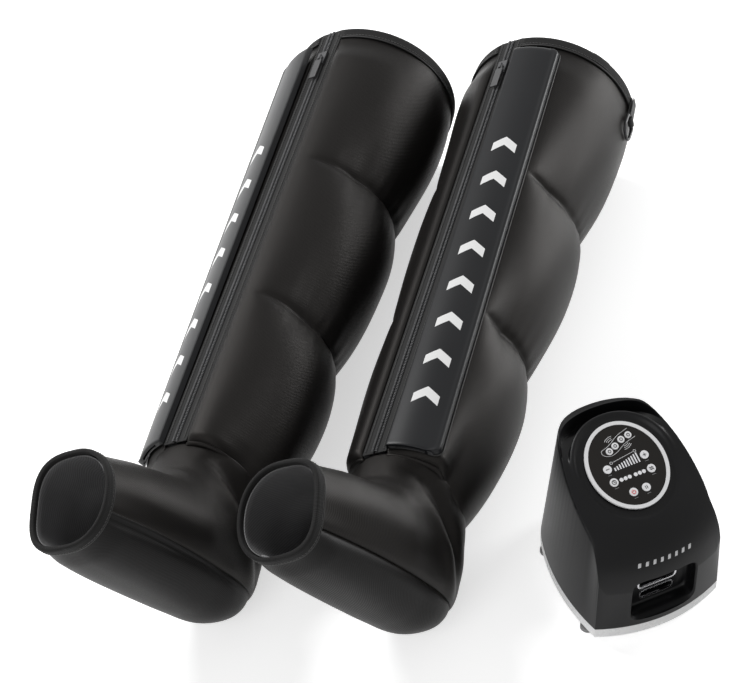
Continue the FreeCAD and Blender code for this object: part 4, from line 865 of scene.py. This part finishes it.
for boot in boots:
    # woven sleeve inside the leg, wide at the hem: a closed section in level and radius, carried round
    level = np.concatenate([np.linspace(86, 728, 60), np.linspace(735, 787, 12)])
    mouth = sleeve["radius"] + sleeve["flare"] + sleeve["mouth"] * smoothStep(724, 774, level)
    inner = np.where(level > sleeve["low"] + sleeve["run"], mouth, sleeveRadius(level))
    level = np.concatenate([level, level[::-1]])
    angle = np.linspace(sleeve["gap"], fullTurn - sleeve["gap"], 90)[:, None]
    slack = np.sin(angle * 9 + level / 37) * smoothStep(95, 140, level) * smoothStep(770, 740, level)
    radius = np.concatenate([inner, inner[::-1] + sleeve["wall"]]) + sleeve["slack"] * slack
    tube = rod(boot.around(angle, radius, level), lengths=laid(angle * sleeve["turnLength"], level * mm))
    buildPiece(boot.part("leg_sleeve"), [tube], [liningFinish], "root", "lining_fabric", [boot.part("lining")])
    # air cells between the cover and the sleeve, thinner towards their ends
    for label, (low, high) in cell["levels"].items():
        level = np.linspace(low, high, 40)
        half = easedIn(cell["flat"], np.minimum(level - low, high - level) / cell["round"]) / 2
        angle = np.linspace(cell["gap"], fullTurn - cell["gap"], 80)[:, None]
        outer, inner = legRadius(angle, level[None, :]) - cell["under"], sleeveRadius(level) + cell["clear"]
        middle, thick = (outer + inner) / 2, (outer - inner) * half
        radius = np.concatenate([middle + thick, (middle - thick)[:, ::-1]], 1)
        pillow = rod(boot.around(angle, radius, np.concatenate([level, level[::-1]])))
        piece = buildPiece(boot.part(label + "_cell"), [pillow], [cellFinish], "root", "air_cell_film",
                           [boot.part(label + "_bladder")])
print("sleeves and cells made")

pump = {
    "halfDepth": 106.0, "frontBow": 18.0, "bowRun": (30.0, -70.0), "frontCorner": 80.2, "backRadius": 75.0,
    "sideRadius": 260.0, "backAngle": 20.0, "baseTop": 22.4, "height": 200.0, "draw": 0.14, "slope": 20.0,
    "frontCurve": 80.0, "crownReach": 42.0, "crownRun": 52.0, "backDrop": 16.0, "edgeRound": 1.7,
    "panelReach": -2.0, "panelLevel": 176.7, "panelWide": 48.0, "panelLong": 54.0,
    "dish": 1.6, "dishEdge": (1.24, 1.12), "window": 16.0, "windowEdge": (0.9, 0.86),
    "lip": 2.2, "lipIn": 4.0, "lipWide": 3.2, "lipTurn": (100.0, 60.0),
    "gripInner": 65.0, "gripOuter": 81.0, "gripTaper": 8.0, "gripDepth": 19.0, "gripTurn": (72.0, 24.0),
    "bayWide": 82.0, "bayHigh": 62.0, "bayFloor": 32.0, "bayBack": -82.0, "bayMouth": -99.0, "bayPower": 6.5,
    "ports": ((46.0, 80.0), (46.0, 66.0), (40.0, 47.0)),      # width and level of each
    "portHigh": 11.0, "portBack": -60.0, "portPower": 5.0,
    "jackTurn": 50.0, "jackLevel": 46.0, "jackRadius": 6.6, "jackMiddle": 30.38, "jackOut": (55.0, 85.0),
}
slope = math.radians(pump["slope"])
portMount = mounts["upper_hose_port"]
pumpBack, pumpUp = -np.array(portMount["axis"], float), np.array([0.0, 0.0, 1.0])
pumpAxes = np.array([np.cross(pumpBack, pumpUp), pumpBack, pumpUp])      # right, back and up
pumpOrigin = inFrame(np.array(portMount["pos_m"], float), pumpAxes, 0.0, -pump["bayBack"], -pump["ports"][0][1])


def onPump(right, back, level):
    return inFrame(pumpOrigin, pumpAxes, right, back, level)


panelMiddle = onPump(0.0, pump["panelReach"], pump["panelLevel"])
panelAxes = np.array([pumpAxes[0], pumpBack * math.cos(slope) + pumpUp * math.sin(slope),
                      pumpUp * math.cos(slope) - pumpBack * math.sin(slope)])


def onPanel(right, up, out):
    # a point of the sloping panel: right, up the slope and out of it, in millimetres from its middle
    return inFrame(panelMiddle, panelAxes, right, up, out)


def planReach(turn):
    # distance from the middle to the shell's plan: bowed front, two long side arcs, round back
    angle = math.radians(pump["backAngle"])
    backMiddle = pump["halfDepth"] - pump["backRadius"]
    gap = pump["backRadius"] - pump["sideRadius"]
    sideMiddle = np.array([gap * math.cos(angle), backMiddle + gap * math.sin(angle)])
    frontCorner = pump["frontBow"] - pump["halfDepth"]
    back = np.linspace(math.pi / 2, angle, 80)
    arcBack = np.stack([pump["backRadius"] * np.cos(back), backMiddle + pump["backRadius"] * np.sin(back)], -1)
    side = np.linspace(angle, math.asin((frontCorner - sideMiddle[1]) / pump["sideRadius"]), 80)
    arcSide = sideMiddle + pump["sideRadius"] * np.stack([np.cos(side), np.sin(side)], -1)
    x = np.linspace(arcSide[-1, 0], 0, 60)
    arcFront = np.stack([x, -pump["halfDepth"] + pump["frontBow"] * (x / x[0]) ** 2], -1)
    line = np.concatenate([arcFront[::-1], arcSide[::-1], arcBack[::-1]])
    at = np.arctan2(line[:, 0], -line[:, 1])
    return np.interp(np.minimum(turn, fullTurn - turn), at, np.hypot(line[:, 0], line[:, 1]))


# level of the middle of the front's curve, which runs into the slope of the panel
frontMiddle = pump["frontCurve"] - pump["halfDepth"]
faceHigh = (pump["panelLevel"] - pump["panelReach"] * math.tan(slope)
            - (pump["frontCurve"] - math.sin(slope) * frontMiddle) / math.cos(slope))


def bowBack(x, y):
    # how far the bowed front runs back at the sides, less and less towards the rear
    return pump["frontBow"] * (x / pump["frontCorner"]) ** 2 * smoothStep(*pump["bowRun"], y)


def crownLevel(x, y):
    # the face in profile: an upright front that curves back into the slope, and a crown that falls behind
    y = y - bowBack(x, y)
    slant = pump["panelLevel"] + (y - pump["panelReach"]) * math.tan(slope)
    curved = faceHigh + np.sqrt(np.clip(pump["frontCurve"] ** 2 - (y - frontMiddle) ** 2, 0, None))
    level = np.where(y < frontMiddle - pump["frontCurve"] * math.sin(slope), curved, slant)
    past = np.clip(y - pump["crownReach"], 0, None) / pump["crownRun"]
    return np.minimum(level, pump["height"]) - pump["backDrop"] * past ** 2


def gripEdges(reach):
    # inner and outer radius of the finger crescent, which narrows where it runs out
    return pump["gripInner"], pump["gripOuter"] - pump["gripTaper"] * (1 - reach)


def gripReach(x, y):
    # turn from the back, and how much of the crescent's depth there is at it
    turn = np.degrees(np.abs(np.arctan2(x, y - pump["panelReach"])))
    return turn, smoothStep(*pump["gripTurn"], turn)


def faceRelief(x, y):
    # round the panel: a shallow dish with a soft lip, a deep crescent for the fingers, a hidden well below
    back = y - pump["panelReach"]
    around = np.hypot(x / pump["panelWide"], back / math.cos(slope) / pump["panelLong"])
    hollow = pump["dish"] * smoothStep(*pump["dishEdge"], around)
    hollow = hollow + pump["window"] * smoothStep(*pump["windowEdge"], around)
    ring = np.hypot(x, back)
    turn, reach = gripReach(x, y)
    inner, outer = gripEdges(reach)
    crescent = smoothStep(inner - 1.2, inner + 1.6, ring) * smoothStep(outer + 1.4, outer - 1.4, ring)
    lip = pump["lip"] * bell(ring - inner + pump["lipIn"], pump["lipWide"]) * smoothStep(*pump["lipTurn"], turn)
    return lip - hollow - pump["gripDepth"] * crescent * reach


wallRows, roofRows = 46, (0, 10, 24, 36, 50, 109)
corner = math.degrees(math.atan2(pump["frontCorner"], pump["halfDepth"] - pump["frontBow"]))
close = np.linspace(-3, 3, 9)      # columns crowd at the two front corners
spread = np.concatenate([np.linspace(0, 360, 200, endpoint=False), corner + close, 360 - corner + close])
turn = np.radians(np.unique(np.round(spread, 4)))
rise = np.linspace(0, 1, wallRows)
inward = np.linspace(0, 1, 400)
frontShare = smoothStep(math.radians(52), math.radians(38), np.minimum(turn, fullTurn - turn))
columns = []
for around, plan, share in zip(turn, planReach(turn), frontShare):
    # each column: up the wall, which leans in, then over the roof to the middle
    aside, ahead = math.sin(around), -math.cos(around)
    top = crownLevel(inward * plan * aside, inward * plan * ahead)
    lean = pump["draw"] * (1 - share) * (top - pump["baseTop"]) / (pump["height"] - pump["baseTop"])
    last = max(int((inward * plan <= plan * (1 - lean)).sum()) - 1, 1)
    crease = inward[last] * plan
    wall = np.stack([plan + (crease - plan) * rise, pump["baseTop"] + (top[last] - pump["baseTop"]) * rise], -1)
    # rows of the roof crowd where the walls of the crescent are, so that both edges come out clean
    inner, outer = gripEdges(gripReach(90 * aside, 90 * ahead)[1])
    off = pump["panelReach"] * ahead
    walls = np.array([outer + 1.6, outer - 1.6, inner + 1.8, inner - 1.4])
    walls = off + np.sqrt(walls ** 2 - pump["panelReach"] ** 2 + off ** 2)
    walls = np.minimum(walls, crease - np.array([1.0, 1.5, 2.0, 2.5]))
    roof = np.interp(np.arange(roofRows[-1] + 1), roofRows, [crease, *walls, 0.0])
    roof = np.stack([roof, crownLevel(roof * aside, roof * ahead)], -1)
    section = np.concatenate([wall, roof[1:]])
    # its edges are rounded by a running mean along the section
    step = np.concatenate([[0], np.cumsum(np.hypot(*np.diff(section, axis=0).T))])
    shift = np.linspace(-pump["edgeRound"], pump["edgeRound"], 9)[:, None]
    spots = np.clip(step + shift, 0, step[-1])
    soft = np.stack([np.interp(spots, step, section[:, k]).mean(0) for k in (0, 1)], -1)
    soft[:3], soft[-1] = section[:3], section[-1]
    columns.append(soft)
sections = np.stack(columns, 1)      # rows from the base up and over to the middle, columns round the shell
x, y = sections[..., 0] * np.sin(turn), -sections[..., 0] * np.cos(turn)
level = sections[..., 1] + np.where(np.arange(len(sections))[:, None] > wallRows, faceRelief(x, y), 0)
level[-1] = level[-2].mean()
shell = form(onPump(x, y, level), closeCols=True, flip=True)
under = np.array([1.0, 0.5, 0.0])[:, None]
underside = form(onPump(x[0] * under, y[0] * under, level[0]), closeCols=True)
housing = buildPiece("pump_shell", [shell, underside], [housingFinish], "root", "housing_plastic",
                     ["pump_housing"])


def cutter(points):
    # a closed block to take out of the shell
    return buildPiece("cutter", [rod(points)], [], "root", "housing_plastic")


# the bay of the hose ports, flared at its mouth, the three ports behind it and the jack at the back
far, mouth = pump["bayBack"], pump["bayMouth"]
across, upward = roundBox(pump["bayWide"] / 2, pump["bayHigh"] / 2, pump["bayPower"], 64)
deep = np.array([far, far - 0.8, far - 3.0, (far - 100) / 2, mouth, mouth - 3.5, mouth - 41.0])[:, None]
grow = np.array([0.93, 0.97, 1.0, 1.0, 1.0, 1.07, 1.09])[:, None]
cutters = [cutter(onPump(across * grow, deep, pump["bayFloor"] + pump["bayHigh"] / 2 + upward * grow))]
for wide, middle in pump["ports"]:
    across, upward = roundBox(wide / 2, pump["portHigh"] / 2, pump["portPower"], 64)
    deep = np.array([pump["portBack"], pump["bayBack"] - 4])[:, None]
    cutters.append(cutter(onPump(across, deep, middle + upward)))
aside, back = math.sin(math.radians(pump["jackTurn"])), math.cos(math.radians(pump["jackTurn"]))
out, around = np.array(pump["jackOut"])[:, None], turnsOf(40)
across, upward = pump["jackRadius"] * np.cos(around), pump["jackRadius"] * np.sin(around)
cutters.append(cutter(onPump(out * aside + across * back, pump["jackMiddle"] + out * back - across * aside,
                             pump["jackLevel"] + upward)))
for tool in cutters:
    hollow = housing.modifiers.new("hollow", "BOOLEAN")
    hollow.operation = "DIFFERENCE"
    hollow.solver = "EXACT"
    hollow.object = tool
bpy.context.view_layer.update()
cutMesh = bpy.data.meshes.new_from_object(housing.evaluated_get(bpy.context.evaluated_depsgraph_get()))
housing.modifiers.clear()
housing.data = cutMesh
cutMesh.set_sharp_from_angle(angle=math.radians(38))
for tool in cutters:
    bpy.data.objects.remove(tool)

comb = {"from": 2.0, "share": 0.68, "pitch": 6.4, "neck": 2.4, "tooth": 5.2, "front": 4.0, "thick": 2.2,
        "tongue": 1.5, "tongueDeep": 11.0}
combs = []
for index, (wide, middle) in enumerate(pump["ports"]):
    # a bar hangs from the roof of each port, its lower edge waved into teeth; the small port has a plain tongue
    x = -wide / 2 + comb["from"] + np.linspace(0, wide * comb["share"], 90)
    teeth = np.abs(np.sin((x - x[0]) * math.pi / comb["pitch"])) ** 0.7
    roof, thick = np.full(90, middle + pump["portHigh"] / 2 - 0.1), comb["thick"]
    edge = roof - comb["neck"] - (comb["tooth"] - comb["neck"]) * teeth
    if index == 2:
        roof, thick = np.full(90, middle + comb["tongue"] / 2), comb["tongueDeep"]
        edge = roof - comb["tongue"]
    deep = pump["bayBack"] + comb["front"] + np.array([0.0, 0.0, thick, thick])
    combs.append(rod(onPump(x[:, None], deep, np.stack([roof, edge, edge, roof], -1))))
buildPiece("port_combs", combs, [combFinish], "root", "nozzle_plastic", sharp=40)
print("pump shell made")

panelMarks = {"line": 0.34, "glyph": 0.42, "lift": 0.08, "label": 4.6, "labelDrop": 7.4, "zoneRing": 1.7,
              "rampFrom": (7.5, 5.6), "rampTo": (-8.5, 8.4), "rampEnd": 1.5,
              "puffs": ((8.6, 22), (10.6, 24), (12.6, 26))}      # radius and half angle of the three puffs


def panelSpot(name):
    # middle of a node on the panel, right and up in millimetres, and how far out its face is
    mesh = nodes[name].data
    corners = np.empty(len(mesh.vertices) * 3)
    mesh.vertices.foreach_get("co", corners)
    right, up, out = ((corners.reshape(-1, 3) - panelMiddle) @ panelAxes.T / mm).T
    return np.array([(right.min() + right.max()) / 2, (up.min() + up.max()) / 2]), out.max()


def arc(middle, radius, low, high, count=24):
    # points on a circle, between two angles in degrees
    turn = np.radians(np.linspace(low, high, count))
    return np.asarray(middle, float) + radius * np.stack([np.cos(turn), np.sin(turn)], -1)


def circle(middle, radius):
    return arc(middle, radius, 0, 356)


def drawn(lines, out, thick, finish=0):
    # each line on the panel becomes a round bead, half sunk in the face
    return [bead(onPanel(line[:, 0], line[:, 1], out), thick, 6, finish) for line in map(np.asarray, lines)]


wave = np.linspace(-2.5, 2.5, 20)
glyphs = {
    "minus": [[(-2.1, 0), (0, 0), (2.1, 0)]],
    "plus": [[(-2.1, 0), (0, 0), (2.1, 0)], [(0, -2.1), (0, 0), (0, 2.1)]],
    "time": [circle((0, 0), 2.5), [(0, 1.6), (0, 0.8), (0, 0)], [(0, 0), (0.6, -0.3), (1.3, -0.6)]],
    "mode": [np.stack([wave, high + 0.7 * np.sin(wave * 2.2)], -1) for high in (1.1, -1.1)],
    "power": [arc((0, -0.2), 2.2, 125, 415), [(0, 0.5), (0, 1.6), (0, 2.7)]],
    "pause": [[(side, -1.8), (side, 0), (side, 1.8)] for side in (-1.0, 1.0)],
}
spots = {name[:-len("_button")]: panelSpot(name) for name in nodes if name.endswith("_button")}
for name, (middle, face) in spots.items():
    lines = [middle + np.asarray(line) for line in glyphs.get(name, [circle((0, 0), panelMarks["zoneRing"])])]
    buildPiece(name + "_glyph", drawn(lines, face + panelMarks["lift"], panelMarks["glyph"]),
               [powerFinish if name == "power" else glyphFinish], name + "_button", "button_white")
_, overlayFace = panelSpot("panel_overlay")
zones = np.array([spots[f"zone_{index}"][0] for index in (1, 2, 3, 4)])
along = unit(zones[3] - zones[0])
aside = np.array([-along[1], along[0]])
# leg outline round the four zone buttons: along and aside of the row, from the open top round the toe and back
outline = [(3, 5.0, 6.6), (2, 0, 6.4), (1, 0, 5.8), (0, 1.0, 5.6), (0, -6.0, 6.2), (0, -8.6, 3.4),
           (0, -7.4, -1.0), (0, -3.0, -4.6), (0, 2.0, -6.2), (1, 0, -6.6), (2, 0, -6.4), (3, 5.0, -6.6)]
knots = np.array([zones[index] + along * ahead + aside * out for index, ahead, out in outline])
lines = [curveThrough(np.linspace(0, len(knots) - 1, 90), np.arange(len(knots)), knots)]
for middle, way in ((zones[1], aside), (zones[2], -aside)):
    facing = math.degrees(math.atan2(way[1], way[0]))
    lines += [arc(middle, reach, facing - span, facing + span, 12) for reach, span in panelMarks["puffs"]]
# a ramp from the minus to the plus button, with a ring at each end
rampLow, rampHigh = spots["minus"][0] + panelMarks["rampFrom"], spots["plus"][0] + panelMarks["rampTo"]
lines.append(rampLow + (rampHigh - rampLow) * np.linspace(0.07, 0.93, 8)[:, None])
lines += [circle(end, panelMarks["rampEnd"]) for end in (rampLow, rampHigh)]
dash = np.stack([np.linspace(-0.5, 0.5, 5) * panelMarks["label"], np.full(5, -panelMarks["labelDrop"])], -1)
labels = [spots[name][0] + dash for name in glyphs]      # a plain dash below each button
buildPiece("panel_marks",
           drawn(lines, overlayFace, panelMarks["line"]) + drawn(labels, overlayFace, panelMarks["line"], 1),
           [inkFinish, labelFinish], "root", "panel_gloss")

frontBars = {"count": 8, "pitch": 9.2, "from": 23.5, "to": 28.5, "wide": 4.4, "lean": 1.6, "proud": 0.22,
             "sunk": -0.4}
bars = []
for index in range(frontBars["count"]):
    # a row of plain slanted bars across the front, each a thin pillow on the curved face
    share = np.linspace(0, 1, 6)
    rise = np.radians(frontBars["from"] + (frontBars["to"] - frontBars["from"]) * share)[:, None]
    x = (index - (frontBars["count"] - 1) / 2) * frontBars["pitch"] + frontBars["wide"] * (share - 0.5)
    x = x + frontBars["lean"] * (share - 0.5)[:, None]
    fromEdge = np.minimum(share, 1 - share)
    inside = np.minimum(fromEdge[:, None], fromEdge) > 0
    reach = pump["frontCurve"] + np.where(inside, frontBars["proud"], frontBars["sunk"])
    y = frontMiddle - reach * np.cos(rise)
    bars.append(form(onPump(x, y + bowBack(x, y), faceHigh + reach * np.sin(rise))))
buildPiece("front_marks", bars, [inkFinish], "root", "panel_trim", outward=False)
print("panel drawn")

# CAD nodes whose shape is right keep it and take their finish
nodeFinishes = {
    "zipper_tapes": tapeFinish, "zipper_slider": sliderFinish, "pull_tab": pullFinish, "d_ring": ringFinish,
    "air_inlet": inletFinish, "air_tubes": tubeFinish,
    "pump_base": baseFinish, "pump_feet": padFinish, "panel_ring": trimFinish,
    "panel_overlay": panelFinish, "indicator_lights": lightFinish, "display_board": boardFinish,
    "port_trims": chromeFinish, "nozzle_blocks": nozzleFinish, "compressor": castFinish,
    "valve_block": castFinish, "main_board": boardFinish, "housing_screws": screwFinish,
    "power_inlet": inletFinish,
}
for name, piece in nodes.items():
    label = name.split("_", 1)[1] if name.startswith(("left_", "right_")) else name
    finish = buttonFinish if label.endswith("_button") else nodeFinishes.get(label)
    if finish:
        piece.data.materials.clear()
        piece.data.materials.append(finish)
print("frame pieces finished")

stage = {"floor": 6.0, "glow": 0.58, "worldLight": 0.3, "azimuth": 15.5, "elevation": 47.0, "distance": 4.0,
         "lens": 167.0, "target": (-0.1, -0.004, 0.127), "lampTarget": (0.0, 0.0, 0.1)}
white = (1.0, 1.0, 1.0, 1.0)


def addItem(name, data):
    item = bpy.data.objects.new(name, data)
    bpy.context.scene.collection.objects.link(item)
    return item


def floorPaint(start):
    slow = grain(start, 3.0)
    return {"Base Color": slow.blend((0.9, 0.9, 0.9), (0.93, 0.93, 0.93)), "Roughness": 0.6 + slow * 0.1}


def seenPlainly(tree):
    # 1 for rays from the camera, off gloss and through glass; 0 for the light that falls on the object
    rays = tree.nodes.new("ShaderNodeLightPath").outputs
    camera, gloss, glass = (Wire(tree, rays[f"Is {kind} Ray"]) for kind in ("Camera", "Glossy", "Transmission"))
    return camera.maths("MAXIMUM", camera.maths("MAXIMUM", camera, gloss), glass)


span = np.linspace(-0.5, 0.5, 3) * stage["floor"]
floorPoints = np.stack(np.meshgrid(span, span, indexing="ij") + [np.zeros((3, 3))], -1).reshape(-1, 3)
floorMesh = bpy.data.meshes.new("floor")
floorMesh.from_pydata(floorPoints.tolist(), [], gridQuads(3, 3, False, False, True, 0).tolist())
floorFinish = makeFinish("paleFloor", floorPaint, Specular_IOR_Level=0.1)
floorMesh.materials.append(floorFinish)
addItem("floor", floorMesh)
# the floor shows white to the camera and in reflections, and still takes the shadow
tree = floorFinish.node_tree
seen = seenPlainly(tree)
glow = seen.node("Emission", None, {"Color": white, "Strength": seen * stage["glow"]})
both = seen.node("AddShader", None, {0: Wire(tree, tree.nodes["Principled BSDF"].outputs[0]), 1: glow})
tree.links.new(both.socket, tree.nodes["Material Output"].inputs["Surface"])

world = bpy.data.worlds.new("studio")
bpy.context.scene.world = world
world.use_nodes = True
background = world.node_tree.nodes["Background"]
background.inputs["Color"].default_value = white
seen = seenPlainly(world.node_tree)
seen.put(background.inputs["Strength"], stage["worldLight"] + seen * (1 - stage["worldLight"]))


def aim(item, spot, target):
    # turns an object so that its own -Z looks from spot to target
    spot = np.array(spot, float)
    back = unit(spot - target)
    right = unit(np.cross((0.0, 0.0, 1.0), back))
    turn = np.eye(4)
    turn[:3] = np.stack([right, np.cross(back, right), back, spot], -1)
    item.matrix_world = Matrix(turn.tolist())


lamps = {
    "keyLamp": {"place": (-2.0, 0.7, 2.1), "size": 1.1, "power": 74},
    "rimLamp": {"place": (2.0, 2.4, 0.75), "size": 1.1, "power": 54},
    "fillLamp": {"place": (-0.4, -2.6, 1.9), "size": 1.8, "power": 22},
}
for name, lamp in lamps.items():
    light = bpy.data.lights.new(name, "AREA")
    light.shape = "DISK"
    light.size = lamp["size"]
    light.energy = lamp["power"]
    aim(addItem(name, light), lamp["place"], stage["lampTarget"])

turn, tilt = math.radians(stage["azimuth"]), math.radians(stage["elevation"])
away = np.array([math.sin(turn) * math.cos(tilt), -math.cos(turn) * math.cos(tilt), math.sin(tilt)])
camera = bpy.data.cameras.new("view")
camera.lens = stage["lens"]
camera.clip_end = 100
view = addItem("view", camera)
aim(view, np.array(stage["target"]) + away * stage["distance"], stage["target"])
bpy.context.scene.camera = view
bpy.context.scene.view_settings.view_transform = "Standard"
print("stage set")
